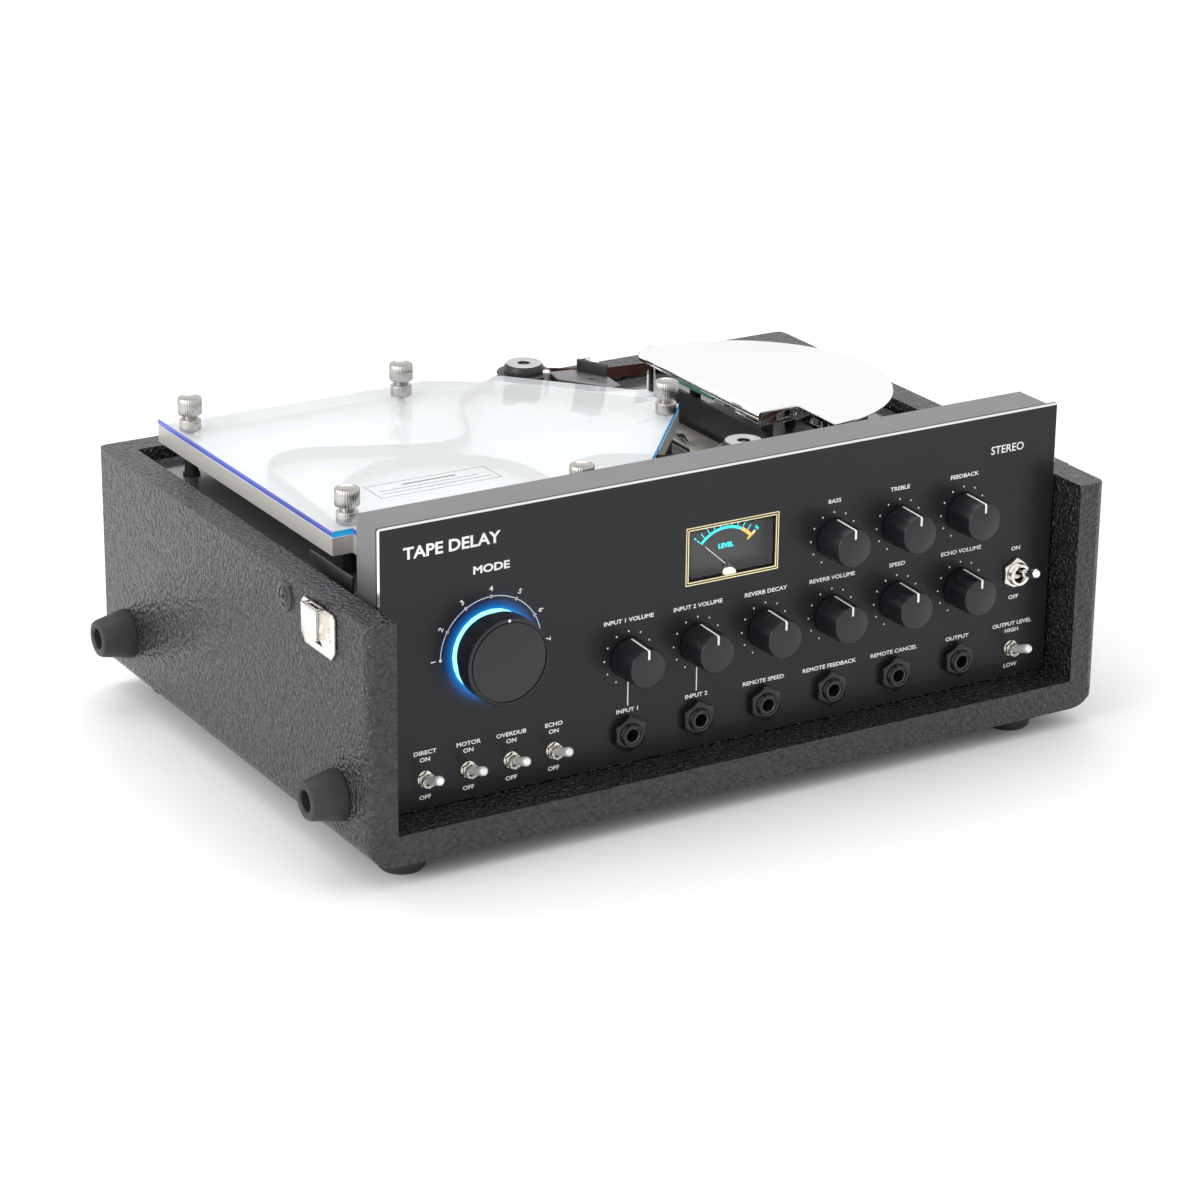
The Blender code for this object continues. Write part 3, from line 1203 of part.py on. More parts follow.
# ---------------------------------------------------------------- deck and head assembly
def make_deck():
    """A folded deck with its posts, axle studs and the capstan's bearing."""
    deck = box("deck_plate", (-DECK_HALF, DECK_FRONT, INNER_FLOOR + GAP),
               (DECK_HALF, DECK_BACK, DECK_TOP), DECK_METAL)
    under = DECK_TOP - DECK_SHEET
    cut(deck, box("deck_hollow", (-DECK_HALF + SKIRT, DECK_FRONT - SKIRT, INNER_FLOOR - SKIRT),
                  (DECK_HALF - SKIRT, DECK_BACK + SKIRT, under)))
    root = DECK_TOP - DECK_SHEET / 2
    post_top = TANK_LOW - GAP
    posts = [((x, y, root), (x, y, post_top), POST_RADIUS) for x, y in SCREWS]
    stud_top = TAPE_HIGH + ROLLER_FLANGE + ROLLER_CAP_HEIGHT - ROLLER_WELL_DEPTH
    studs = [((x, y, root), (x, y, stud_top), STUD_RADIUS) for x, y in (REAR_ROLLER, FRONT_ROLLER)]
    pivot = pinch_pivot()
    arm_top = DECK_TOP + PINCH_ARM_RISE + PINCH_ARM_HEIGHT + PINCH_STUD_RISE
    studs.append(((*pivot, root), (*pivot, arm_top), STUD_RADIUS))
    x, y = capstan_place()
    studs.append(((x, y, under - BEARING_HEIGHT / 2), (x, y, DECK_TOP + BEARING_HEIGHT / 2),
                  BEARING_RADIUS))
    join(deck, rods("deck_studs", posts + studs, 12))
    wells = [((x, y, post_top - SCREW_STEM_REACH), (x, y, post_top + SCREW_STEM_REACH),
              SCREW_STEM_RADIUS + GAP) for x, y in SCREWS]
    wells.append(((x, y, under - BEARING_HEIGHT), (x, y, DECK_TOP + BEARING_HEIGHT),
                  CAPSTAN_RADIUS + GAP))
    cut(deck, rods("deck_wells", wells, 12))


def cover_outline(inset=0.0):
    """A round cover with one straight side and a notch at its front, clockwise from the notch."""
    left, radius = COVER_LEFT + inset, COVER_RADIUS - inset
    notch_x = COVER_LEFT + COVER_NOTCH_WIDTH + inset
    notch_y = COVER_Y - COVER_NOTCH_BACK + inset
    start = math.degrees(math.acos((left - COVER_X) / radius))
    end = -math.degrees(math.acos((notch_x - COVER_X) / radius))
    rim = arc((COVER_X, COVER_Y), radius, start, end, 30)
    return [(notch_x, notch_y), (left, notch_y)] + rim


def rim_reach(x):
    """How far the cover's round rim is from its centre line, along y, at a given x."""
    return math.sqrt(COVER_RADIUS ** 2 - (x - COVER_X) ** 2)


def make_head_cover():
    """The polished cover: a sheet with a lip along its straight side and a folded notch."""
    low = COVER_TOP - COVER_SHEET
    cover = plate("head_cover", cover_outline(), low, COVER_TOP, CHROME)
    notch_x = COVER_LEFT + COVER_NOTCH_WIDTH
    notch_y = COVER_Y - COVER_NOTCH_BACK
    inset = COVER_SHEET
    straight = COVER_Y + rim_reach(COVER_LEFT) - COVER_FOLD_END
    rim_y = COVER_Y - rim_reach(notch_x) + COVER_FOLD_END
    overlap = low + COVER_SHEET / 2
    folds = [
        ((COVER_LEFT + GAP, notch_y + inset, COVER_TOP - COVER_LIP),
         (COVER_LEFT + inset, straight, overlap)),
        ((COVER_LEFT + GAP, notch_y + GAP, COVER_TOP - COVER_FLANGE),
         (notch_x + inset, notch_y + inset, overlap)),
        ((notch_x + GAP, rim_y, COVER_TOP - COVER_FLANGE),
         (notch_x + inset, notch_y + inset, overlap)),
    ]
    for n, (corner, far) in enumerate(folds):
        join(cover, box(f"cover_fold_{n}", corner, far))


def make_head_block():
    """The heads on their base, with the side wall and the cover's posts."""
    low = DECK_TOP + GAP
    high = low + HEAD_BASE_SHEET
    left = COVER_LEFT + HEAD_BASE_INSET
    base_y = HEAD_BASE_RADIUS
    outline = [(left, HEAD_Y - base_y)] + arc((HEAD_X, HEAD_Y), base_y, -90, 90, 16)
    outline.append((left, HEAD_Y + base_y))
    block = plate("head_block", outline, low, high, BLACK_PLASTIC)
    join(block, box("head_wall", (left + GAP, HEAD_Y - base_y + GAP, low + GAP),
                    (left + HEAD_WALL, HEAD_Y + base_y - GAP, DECK_TOP + HEAD_WALL_RISE)))
    deep, wide, tall = HEAD_SIZE
    face = HEAD_ARC_RADIUS - GAP
    for n, angle in enumerate(HEAD_ANGLES):
        head = box(f"head_case_{n}", (face - deep, -wide / 2, high - GAP),
                   (face - GAP, wide / 2, high + tall))
        head.matrix_world = (Matrix.Translation((HEAD_X, HEAD_Y, 0.0))
                             @ Matrix.Rotation(math.radians(angle), 4, "Z"))
        join(block, head)
    top = COVER_TOP - COVER_SHEET - GAP
    posts = [(left + COVER_POST_X, HEAD_Y + COVER_POST_Y),
             (left + COVER_POST_X, HEAD_Y - COVER_POST_Y), (HEAD_X + COVER_POST_REACH, HEAD_Y)]
    join(block, rods("cover_posts", [((x, y, high - GAP), (x, y, top), COVER_POST_RADIUS)
                                     for x, y in posts], 12))


# ---------------------------------------------------------------- mains parts
def inlet_centre():
    return -CASE_SIDE + INLET_X_INSET, CASE_BOTTOM + INLET_RISE


def make_inlet():
    """A three-pin mains inlet let into the back wall, its socket facing out."""
    x, z = inlet_centre()
    outer = CASE_BACK - GAP
    flange = (INLET_FLANGE_WIDTH / 2, INLET_FLANGE_HEIGHT / 2)
    body = (INLET_WIDTH / 2, INLET_HEIGHT / 2)
    inlet = box("power_inlet", (x - flange[0], outer - INLET_FLANGE, z - flange[1]),
                (x + flange[0], outer, z + flange[1]), BLACK_PLASTIC)
    join(inlet, box("inlet_body", (x - body[0], outer - INLET_DEPTH, z - body[1]),
                    (x + body[0], outer - INLET_FLANGE / 2, z + body[1])))
    hollow = (body[0] - INLET_WALL, body[1] - INLET_WALL)
    cut(inlet, box("inlet_hollow", (x - hollow[0], outer - INLET_RECESS, z - hollow[1]),
                   (x + hollow[0], outer + INLET_WALL, z + hollow[1])))
    root = outer - INLET_RECESS - INLET_WALL / 2
    tip = outer - INLET_RECESS + INLET_PIN_LENGTH
    half, tall = INLET_PIN_SIZE[0] / 2, INLET_PIN_SIZE[1] / 2
    join(inlet, boxes("inlet_pins", [((x + dx - half, root, z + dz - tall),
                                      (x + dx + half, tip, z + dz + tall))
                                     for dx, dz in INLET_PINS]))


def make_transformer():
    """A ring-shaped mains transformer standing on the case's floor."""
    low = INNER_FLOOR + GAP
    top = low + TRANSFORMER_HEIGHT
    edge = TRANSFORMER_EDGE
    outer, inner = TRANSFORMER_RADIUS, TRANSFORMER_BORE_RADIUS
    profile = [(outer - edge, top), (outer - edge * 0.3, top - edge * 0.3), (outer, top - edge),
               (outer, low + edge), (outer - edge * 0.3, low + edge * 0.3), (outer - edge, low),
               (inner, low), (inner, top)]
    place = (-INNER_SIDE + TRANSFORMER_RADIUS + TRANSFORMER_INSET[0],
             INNER_BACK - TRANSFORMER_RADIUS - TRANSFORMER_INSET[1], 0.0)
    turned("power_transformer", profile, 16, place, material=COPPER, closed=True)


def main():
    make_case()
    make_feet()
    make_side_feet()
    make_latch("latch_left", -1)
    make_latch("latch_right", 1)
    make_handle()
    make_front_panel()
    make_panel_frame()
    make_light_ring()
    make_mode_knob()
    make_knobs()
    make_jacks()
    make_toggles()
    make_power_switch()
    make_control_board()
    make_meter()
    make_deck()
    make_tank()
    make_lid()
    make_thumbscrews()
    make_tape()
    make_tape_guide()
    make_roller("guide_roller_rear", REAR_ROLLER)
    make_roller("guide_roller_front", FRONT_ROLLER)
    make_capstan()
    make_motor()
    make_pinch()
    make_head_block()
    make_head_cover()
    make_inlet()
    make_transformer()


main()
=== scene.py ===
"""Looks for the portable tape echo machine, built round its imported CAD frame.

Metres in the row frame: +Z up, origin on the floor, front towards -Y.
"""
import json
import math

import bmesh
import bpy
from mathutils import Matrix, Vector

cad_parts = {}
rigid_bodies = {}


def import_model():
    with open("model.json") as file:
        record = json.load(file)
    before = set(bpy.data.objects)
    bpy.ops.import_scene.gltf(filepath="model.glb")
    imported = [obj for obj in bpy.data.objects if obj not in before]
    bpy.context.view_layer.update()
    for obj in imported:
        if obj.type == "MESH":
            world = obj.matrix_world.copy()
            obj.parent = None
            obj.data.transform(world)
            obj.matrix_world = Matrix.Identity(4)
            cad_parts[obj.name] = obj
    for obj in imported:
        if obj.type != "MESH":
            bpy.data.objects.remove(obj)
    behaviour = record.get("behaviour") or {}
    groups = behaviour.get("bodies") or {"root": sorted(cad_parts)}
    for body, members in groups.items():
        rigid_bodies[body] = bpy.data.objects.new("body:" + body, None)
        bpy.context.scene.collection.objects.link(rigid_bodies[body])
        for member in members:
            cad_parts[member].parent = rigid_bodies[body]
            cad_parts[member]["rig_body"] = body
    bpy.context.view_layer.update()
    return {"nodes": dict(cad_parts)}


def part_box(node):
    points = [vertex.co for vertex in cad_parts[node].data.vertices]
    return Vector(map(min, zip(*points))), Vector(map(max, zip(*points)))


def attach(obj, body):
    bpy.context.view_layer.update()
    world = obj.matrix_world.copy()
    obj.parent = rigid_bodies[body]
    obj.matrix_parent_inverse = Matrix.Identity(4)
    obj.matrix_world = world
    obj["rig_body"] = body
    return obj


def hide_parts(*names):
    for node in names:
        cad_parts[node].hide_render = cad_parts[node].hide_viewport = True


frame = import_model()
MACHINE = "machine"


def turned(degrees, axis):
    return Matrix.Rotation(math.radians(degrees), 4, axis)


def standing(x, y, z=0.0):
    return Matrix.Translation((x, y, z))


UPRIGHT = turned(90, "X")      # local z towards the front
LEFTWARD = turned(-90, "Y")    # local z towards the left
PRINT_LIFT = 0.00006


# ---------------------------------------------------------------- camera, light, floor
CAMERA_PLACE = (-0.93027, -1.54320, 0.74503)
CAMERA_YAW, CAMERA_PITCH, CAMERA_ROLL = 31.399, 20.723, 0.769
CAMERA_LENS = 114.79
CAMERA_SHIFT = (-0.0131, -0.0122)


def make_camera():
    yaw, pitch, roll = (math.radians(a) for a in (CAMERA_YAW, CAMERA_PITCH, CAMERA_ROLL))
    forward = Vector((math.sin(yaw) * math.cos(pitch), math.cos(yaw) * math.cos(pitch),
                      -math.sin(pitch)))
    level = Vector((math.cos(yaw), -math.sin(yaw), 0.0))
    raised = level.cross(forward)
    right = level * math.cos(roll) + raised * math.sin(roll)
    up = raised * math.cos(roll) - level * math.sin(roll)
    data = bpy.data.cameras.new("camera")
    data.sensor_fit = "AUTO"
    data.sensor_width = 36.0
    data.lens = CAMERA_LENS
    data.shift_x, data.shift_y = CAMERA_SHIFT
    camera = bpy.data.objects.new("camera", data)
    turn = Matrix((right, up, -forward)).transposed().to_4x4()
    camera.matrix_world = Matrix.Translation(CAMERA_PLACE) @ turn
    bpy.context.scene.collection.objects.link(camera)
    bpy.context.scene.camera = camera


def area_light(name, place, aim, size, power, color=(1.0, 1.0, 1.0)):
    data = bpy.data.lights.new(name, "AREA")
    data.shape = "RECTANGLE"
    data.size, data.size_y = size
    data.energy = power
    data.color = color
    lamp = bpy.data.objects.new(name, data)
    turn = (Vector(aim) - Vector(place)).to_track_quat("-Z", "Y").to_matrix().to_4x4()
    lamp.matrix_world = Matrix.Translation(place) @ turn
    bpy.context.scene.collection.objects.link(lamp)


def make_light():
    world = bpy.data.worlds.new("studio")
    world.use_nodes = True
    background = world.node_tree.nodes["Background"]
    background.inputs["Color"].default_value = (1.0, 1.0, 1.0, 1.0)
    background.inputs["Strength"].default_value = 0.97
    bpy.context.scene.world = world
    area_light("left_softbox", (-1.8, -0.2, 0.9), (0.0, 0.0, 0.05), (1.3, 1.1), 16.0)
    area_light("top_softbox", (0.1, 0.5, 1.9), (0.0, 0.0, 0.1), (1.8, 1.4), 12.0)
    bpy.context.scene.view_settings.view_transform = "Standard"


# ---------------------------------------------------------------- materials
class Finish:
    """A Principled material and short ways to give it grain, wear and relief."""

    def __init__(self, name, color, roughness, metallic=0.0, **sockets):
        self.material = bpy.data.materials.new(name)
        self.material.use_nodes = True
        self.nodes = self.material.node_tree.nodes
        self.links = self.material.node_tree.links
        self.shader = self.nodes["Principled BSDF"]
        self.color = color
        self.shader.inputs["Base Color"].default_value = (*color, 1.0)
        self.shader.inputs["Roughness"].default_value = roughness
        self.shader.inputs["Metallic"].default_value = metallic
        for socket, value in sockets.items():
            self.shader.inputs[socket.replace("_", " ")].default_value = value
        self.place = self.node("ShaderNodeTexCoord").outputs["Object"]

    def node(self, kind, inputs=None, **settings):
        node = self.nodes.new(kind)
        for key, value in settings.items():
            setattr(node, key, value)
        for key, value in (inputs or {}).items():
            if isinstance(value, bpy.types.NodeSocket):
                self.links.new(value, node.inputs[key])
            else:
                node.inputs[key].default_value = value
        return node

    def math(self, operation, *values):
        return self.node("ShaderNodeMath", dict(enumerate(values)), operation=operation).outputs[0]

    def vector(self, operation, *values):
        return self.node("ShaderNodeVectorMath", dict(enumerate(values)), operation=operation)

    def mixed(self, factor, first, second):
        """A colour between two, by a factor from another node."""
        mix = self.node("ShaderNodeMix", data_type="RGBA")
        self.links.new(factor, mix.inputs[0])
        mix.inputs[6].default_value = (*first, 1.0)
        mix.inputs[7].default_value = (*second, 1.0)
        return mix.outputs[2]

    def stretched(self, scale):
        return self.node("ShaderNodeMapping", {"Vector": self.place, "Scale": scale}).outputs[0]

    def noise(self, scale, detail=3.0, stretch=None, distortion=0.0):
        place = self.stretched(stretch) if stretch else self.place
        return self.node("ShaderNodeTexNoise", {"Vector": place, "Scale": scale, "Detail": detail,
                                                "Distortion": distortion}).outputs["Fac"]

    def spread(self, value, low, high, start=0.3, end=0.7):
        return self.node("ShaderNodeMapRange", {"Value": value, "From Min": start, "From Max": end,
                                                "To Min": low, "To Max": high}).outputs[0]

    def drive(self, socket, value):
        self.links.new(value, self.shader.inputs[socket])
        return self

    def tint(self, factor, first, second):
        return self.drive("Base Color", self.mixed(factor, first, second))

    def relief(self, height, distance, strength=1.0):
        bump = self.node("ShaderNodeBump", {"Height": height, "Distance": distance,
                                            "Strength": strength})
        before = self.shader.inputs["Normal"]
        if before.is_linked:
            self.links.new(before.links[0].from_socket, bump.inputs["Normal"])
        return self.drive("Normal", bump.outputs["Normal"])

    def worn(self, low, high, scale=60.0, detail=4.0, stretch=None):
        """Roughness that wanders between two values."""
        return self.drive("Roughness", self.spread(self.noise(scale, detail, stretch), low, high))

    def shaded(self, share, scale=30.0):
        """Colour that wanders a little round its own value."""
        darker = tuple(c * (1 - share) for c in self.color)
        lighter = tuple(min(1.0, c * (1 + share)) for c in self.color)
        return self.tint(self.spread(self.noise(scale), 0.0, 1.0), darker, lighter)


def vinyl_finish():
    look = Finish("black_vinyl", (0.03, 0.031, 0.036), 0.3, Specular_IOR_Level=0.6)
    warp = look.node("ShaderNodeTexNoise", {"Vector": look.place, "Scale": 260.0, "Detail": 1.0})
    shift = look.vector("MULTIPLY", warp.outputs["Color"], (0.0022,) * 3)
    moved = look.vector("ADD", look.place, shift.outputs[0])
    grain = look.node("ShaderNodeTexVoronoi", {"Vector": moved.outputs[0], "Scale": 520.0,
                                               "Smoothness": 0.7}, feature="SMOOTH_F1")
    look.relief(grain.outputs["Distance"], 0.0013, 1.0)
    look.relief(look.noise(1500.0, 2.0), 0.0002, 0.6)
    look.drive("Roughness", look.spread(grain.outputs["Distance"], 0.17, 0.33, 0.1, 0.7))
    look.tint(look.spread(grain.outputs["Distance"], 0.0, 1.0, 0.1, 0.75), (0.034, 0.0355, 0.041),
              (0.006, 0.0065, 0.008))
    return look.material


def brushed(name, color, low, high, stretch, metallic=1.0, **sockets):
    look = Finish(name, color, (low + high) / 2, metallic, **sockets)
    look.worn(low, high, 240.0, 5.0, stretch)
    look.relief(look.noise(500.0, 4.0, stretch), 0.00003, 0.4)
    return look.shaded(0.06).material


def tray_finish():
    """Rolled metal with painted light: pale on the upward faces of the floor and darker on the
    walls.
    """
    look = Finish("tray_metal", (0.56, 0.54, 0.505), 0.34, 0.35)
    rise = look.node("ShaderNodeSeparateXYZ", {
        0: look.node("ShaderNodeNewGeometry").outputs["Normal"]}).outputs["Z"]
    # Painted light: faces turned upward are tinted paler, the walls darker, by the way each face
    # turns.
    look.tint(look.spread(rise, 0.0, 1.0, 0.5, 0.9), look.color, (0.92, 0.925, 0.93))
    look.worn(0.28, 0.4, 240.0, 5.0, (0.5, 6.0, 6.0))
    return look.relief(look.noise(500.0, 4.0, (0.5, 6.0, 6.0)), 0.00003, 0.4).material


def plain(name, color, low, high, grain=900.0, depth=0.00004, metallic=0.0, **sockets):
    """A moulded or painted surface with fine grain and uneven gloss."""
    look = Finish(name, color, (low + high) / 2, metallic, **sockets)
    look.worn(low, high)
    look.relief(look.noise(grain, 3.0), depth, 0.5)
    return look.shaded(0.12).material


def polished(name, color):
    """A mirror finish whose only unevenness is in its gloss."""
    look = Finish(name, color, 0.03, 1.0)
    return look.worn(0.02, 0.05, 25.0).material


def glowing(name, color, strength):
    look = Finish(name, color, 0.4, Emission_Strength=strength)
    brighter = [min(1.0, c * 1.15) for c in color]
    mixed = look.mixed(look.spread(look.noise(90.0), 0.0, 1.0), color, brighter)
    return look.drive("Emission Color", mixed).material


BUSHING_DEPTH = 0.0035               # bare metal this far behind the frame's face
BOARD_GREEN = (0.02, 0.16, 0.09)
PANEL_COLOR = (0.0135, 0.0143, 0.0168)
MODE_PLACE = (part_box("mode_knob")[0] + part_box("mode_knob")[1]) / 2
RING_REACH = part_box("mode_light_ring")[1].x - MODE_PLACE.x


def panel_finish():
    """Satin paint on the faces, bare polished metal on the thin chamfers, and a painted blue halo
    of light round the mode knob.
    """
    look = Finish("panel_paint", PANEL_COLOR, 0.33, Specular_IOR_Level=0.3)
    normal = look.node("ShaderNodeNewGeometry").outputs["Normal"]
    parts = look.node("ShaderNodeSeparateXYZ", {0: normal})
    facing = look.math("ABSOLUTE", parts.outputs["Y"])
    above = look.math("GREATER_THAN", facing, 0.4)
    below = look.math("LESS_THAN", facing, 0.9)
    bare = look.math("MULTIPLY", above, below)
    look.tint(bare, PANEL_COLOR, (0.9, 0.9, 0.9))
    look.drive("Metallic", bare)
    rough = look.spread(look.noise(70.0, 4.0), 0.3, 0.37)
    mixed = look.node("ShaderNodeMix", data_type="FLOAT")
    look.links.new(bare, mixed.inputs[0])
    look.links.new(rough, mixed.inputs[2])
    mixed.inputs[3].default_value = 0.12
    look.drive("Roughness", mixed.outputs[0])
    look.relief(look.noise(1800.0, 2.0), 0.00002, 0.5)
    # Painted light: a blue emission halo on the paint, fading outward from the lit ring round the
    # mode knob.
    away = look.vector("SUBTRACT", look.place, MODE_PLACE)
    flat = look.vector("MULTIPLY", away.outputs[0], (1.0, 0.0, 1.0))
    reach = look.vector("LENGTH", flat.outputs[0]).outputs[1]
    painted_halo = look.node("ShaderNodeValToRGB",
                     {0: look.spread(reach, 0.0, 1.0, RING_REACH - 0.003, RING_REACH + 0.009)})
    stops = painted_halo.color_ramp.elements
    stops[0].position, stops[0].color = 0.0, (0.0, 0.01, 0.03, 1.0)
    stops[1].position, stops[1].color = 1.0, (0.0, 0.0, 0.0, 1.0)
    for position, color in ((0.24, (0.0, 0.30, 0.78, 1.0)), (0.42, (0.0, 0.09, 0.34, 1.0)),
                            (0.66, (0.0, 0.012, 0.05, 1.0))):
        stops.new(position).color = color
    look.drive("Emission Color", painted_halo.outputs["Color"])
    look.shader.inputs["Emission Strength"].default_value = 1.0
    return look.material


def deck_finish():
    look = Finish("deck_metal", (0.24, 0.245, 0.26), 0.14, 0.75)
    look.worn(0.1, 0.2, 40.0, 3.0)
    look.shaded(0.1, 8.0)
    look.relief(look.noise(300.0, 2.0), 0.00001, 0.4)
    return look.material


def acrylic_finish():
    look = Finish("clear_acrylic", (0.94, 0.97, 0.985), 0.03, IOR=1.49, Alpha=0.46,
                  Specular_IOR_Level=0.8)
    look.worn(0.02, 0.06, 25.0)
    return look.material


def acrylic_edge_glow_finish(name, color):
    """Light gathered at one edge of the clear sheet."""
    # Emission on the clear sheet's edge, which is no lamp: a painted glow.
    look = Finish(name, tuple(c * 0.2 for c in color), 0.15, Emission_Strength=0.85)
    uneven = look.spread(look.noise(16.0, 2.0, (1.0, 1.0, 14.0)), 0.0, 1.0)
    mixed = look.mixed(uneven, [c * 0.7 for c in color], [c * 1.2 for c in color])
    return look.drive("Emission Color", mixed).material


def circuit_finish():
    look = Finish("circuit_board", BOARD_GREEN, 0.35)
    tracks = look.node("ShaderNodeTexBrick", {"Vector": look.stretched((90.0, 90.0, 90.0)),
                                              "Scale": 3.0, "Mortar Size": 0.08})
    look.tint(tracks.outputs["Fac"], (0.015, 0.13, 0.07), (0.05, 0.3, 0.17))
    look.relief(tracks.outputs["Fac"], 0.00004, 0.6)
    return look.material


def board_finish():
    """The circuit board, with bare metal where its bushings pass through the panel."""
    look = Finish("control_board", BOARD_GREEN, 0.35)
    depth = look.node("ShaderNodeSeparateXYZ", {0: look.place}).outputs["Y"]
    metal = look.math("LESS_THAN", depth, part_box("panel_frame")[0].y + BUSHING_DEPTH)
    look.tint(metal, BOARD_GREEN, (0.82, 0.8, 0.74))
    look.drive("Metallic", metal)
    look.relief(look.noise(600.0), 0.00003, 0.5)
    return look.material


def floor_finish():
    look = Finish("floor", (0.93, 0.93, 0.93), 0.6)
    look.worn(0.55, 0.7, 3.0)
    return look.material


VINYL = vinyl_finish()
PANEL = panel_finish()
DECK = deck_finish()
ACRYLIC = acrylic_finish()
# Painted glow on the lid's left, front and right edges.
EDGE_GLOW_LEFT = acrylic_edge_glow_finish("acrylic_edge_painted_glow_violet", (0.09, 0.13, 0.55))
EDGE_GLOW_FRONT = acrylic_edge_glow_finish("acrylic_edge_painted_glow_cyan", (0.008, 0.36, 0.70))
EDGE_GLOW_RIGHT = acrylic_edge_glow_finish("acrylic_edge_painted_glow_blue", (0.02, 0.25, 0.55))
CIRCUIT = circuit_finish()
BOARD = board_finish()
RUBBER = plain("black_rubber", (0.022, 0.022, 0.023), 0.45, 0.6, 700.0, 0.00006)
KNOB = plain("knob_plastic", (0.010, 0.011, 0.0135), 0.27, 0.36, 1400.0, 0.00002)
BLACK = plain("black_plastic", (0.018, 0.018, 0.019), 0.3, 0.45)
HANDLE = plain("handle_strap", (0.022, 0.022, 0.024), 0.4, 0.55, 500.0, 0.0001)
NICKEL = brushed("nickel", (0.86, 0.83, 0.76), 0.14, 0.26, (1.0, 1.0, 6.0))
CHROME = plain("chrome", (0.93, 0.935, 0.95), 0.025, 0.06, 200.0, 0.000004, 1.0)
POLISH = polished("cover_polish", (0.99, 0.99, 1.0))
LEVER = plain("lever_metal", (0.86, 0.86, 0.84), 0.28, 0.4, 400.0, 0.00001, 0.35)
SCREW_STEEL = brushed("screw_steel", (0.50, 0.485, 0.46), 0.2, 0.34, (1.0, 1.0, 6.0))
JACK = plain("jack_nylon", (0.009, 0.009, 0.010), 0.16, 0.26)
BORE = plain("jack_bore", (0.10, 0.10, 0.105), 0.2, 0.3)
# Near-black for the inside of a jack's socket: painted shade in the hole.
SOCKET_PAINTED_SHADE = plain("socket_painted_shade", (0.002, 0.002, 0.002), 0.6, 0.8)
STEEL = brushed("steel", (0.62, 0.62, 0.62), 0.2, 0.35, (1.0, 1.0, 8.0))
FRAME = brushed("frame_metal", (0.205, 0.197, 0.205), 0.32, 0.42, (0.4, 6.0, 6.0), 0.55)
TRAY = tray_finish()
TAPE = plain("tape_film", (0.085, 0.032, 0.022), 0.22, 0.34, 300.0, 0.00001)
CAP = plain("roller_cap", (0.50, 0.49, 0.50), 0.26, 0.36, 800.0, 0.00002, 0.6)
GUIDE = brushed("guide_metal", (0.74, 0.70, 0.62), 0.2, 0.35, (6.0, 0.5, 6.0), 0.8)
# The gold rim carries a faint warm emission: a painted glow on a part that is no lamp.
GOLD_PAINTED_GLOW = plain("meter_gold_painted_glow", (0.88, 0.76, 0.48), 0.25, 0.4, 500.0, 0.00002, 0.3,
             Emission_Color=(1.0, 0.82, 0.45, 1.0), Emission_Strength=0.3)
METER_FACE = plain("meter_face", (0.012, 0.012, 0.012), 0.35, 0.5)
WINDOW = plain("meter_window", (0.9, 0.95, 1.0), 0.02, 0.05, 200.0, 0.000002, 0.0, Alpha=0.03,
               Specular_IOR_Level=0.15)
COPPER = brushed("copper_winding", (0.72, 0.34, 0.14), 0.3, 0.45, (1.0, 1.0, 30.0))
PRINT = plain("white_print", (0.93, 0.93, 0.93), 0.45, 0.6)
LAMP = glowing("meter_lamp", (1.0, 0.88, 0.68), 0.9)
RING = glowing("ring_light", (0.33, 0.93, 1.0), 1.15)
CYAN = glowing("meter_scale", (0.02, 0.75, 0.85), 1.1)
ORANGE = glowing("meter_peak", (1.0, 0.38, 0.05), 1.1)


# ---------------------------------------------------------------- mesh helpers
def shaped(name, bm, materials, body=MACHINE, angle=35.0):
    """Finish a mesh as a piece that rides on a body."""
    bmesh.ops.recalc_face_normals(bm, faces=bm.faces)
    mesh = bpy.data.meshes.new(name)
    bm.to_mesh(mesh)
    bm.free()
    mesh.shade_smooth()
    mesh.set_sharp_from_angle(angle=math.radians(angle))
    return placed(name, mesh, materials, body)


def placed(name, mesh, materials, body=MACHINE):
    for material in materials:
        mesh.materials.append(material)
    piece = bpy.data.objects.new(name, mesh)
    bpy.context.scene.collection.objects.link(piece)
    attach(piece, body)
    return piece


def body_of(node):
    return frame["nodes"][node]["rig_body"]


def stand_in(node, name, bm, materials, angle=35.0):
    """Finish a mesh as the piece that shows in place of a CAD node."""
    piece = shaped(name, bm, materials, body_of(node), angle)
    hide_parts(node)
    return piece


def lathe(bm, profile, place=Matrix(), steps=48, slot=0, shape=None):
    """Turn (radius, height) points about local z; shape changes a radius at an angle."""
    rings = []
    for radius, height in profile:
        if radius < 1e-7:
            rings.append([bm.verts.new(place @ Vector((0.0, 0.0, height)))])
            continue
        ring = []
        for n in range(steps):
            angle = 2 * math.pi * n / steps
            reach, rise = shape(angle, radius, height) if shape else (radius, height)
            ring.append(bm.verts.new(place @ Vector((reach * math.cos(angle),
                                                     reach * math.sin(angle), rise))))
        rings.append(ring)
    for below, above in zip(rings, rings[1:]):
        for n in range(steps):
            far = (n + 1) % steps
            corners = [below[n % len(below)], below[far % len(below)], above[far % len(above)],
                       above[n % len(above)]]
            corners = list(dict.fromkeys(corners))
            if len(corners) > 2:
                bm.faces.new(corners).material_index = slot


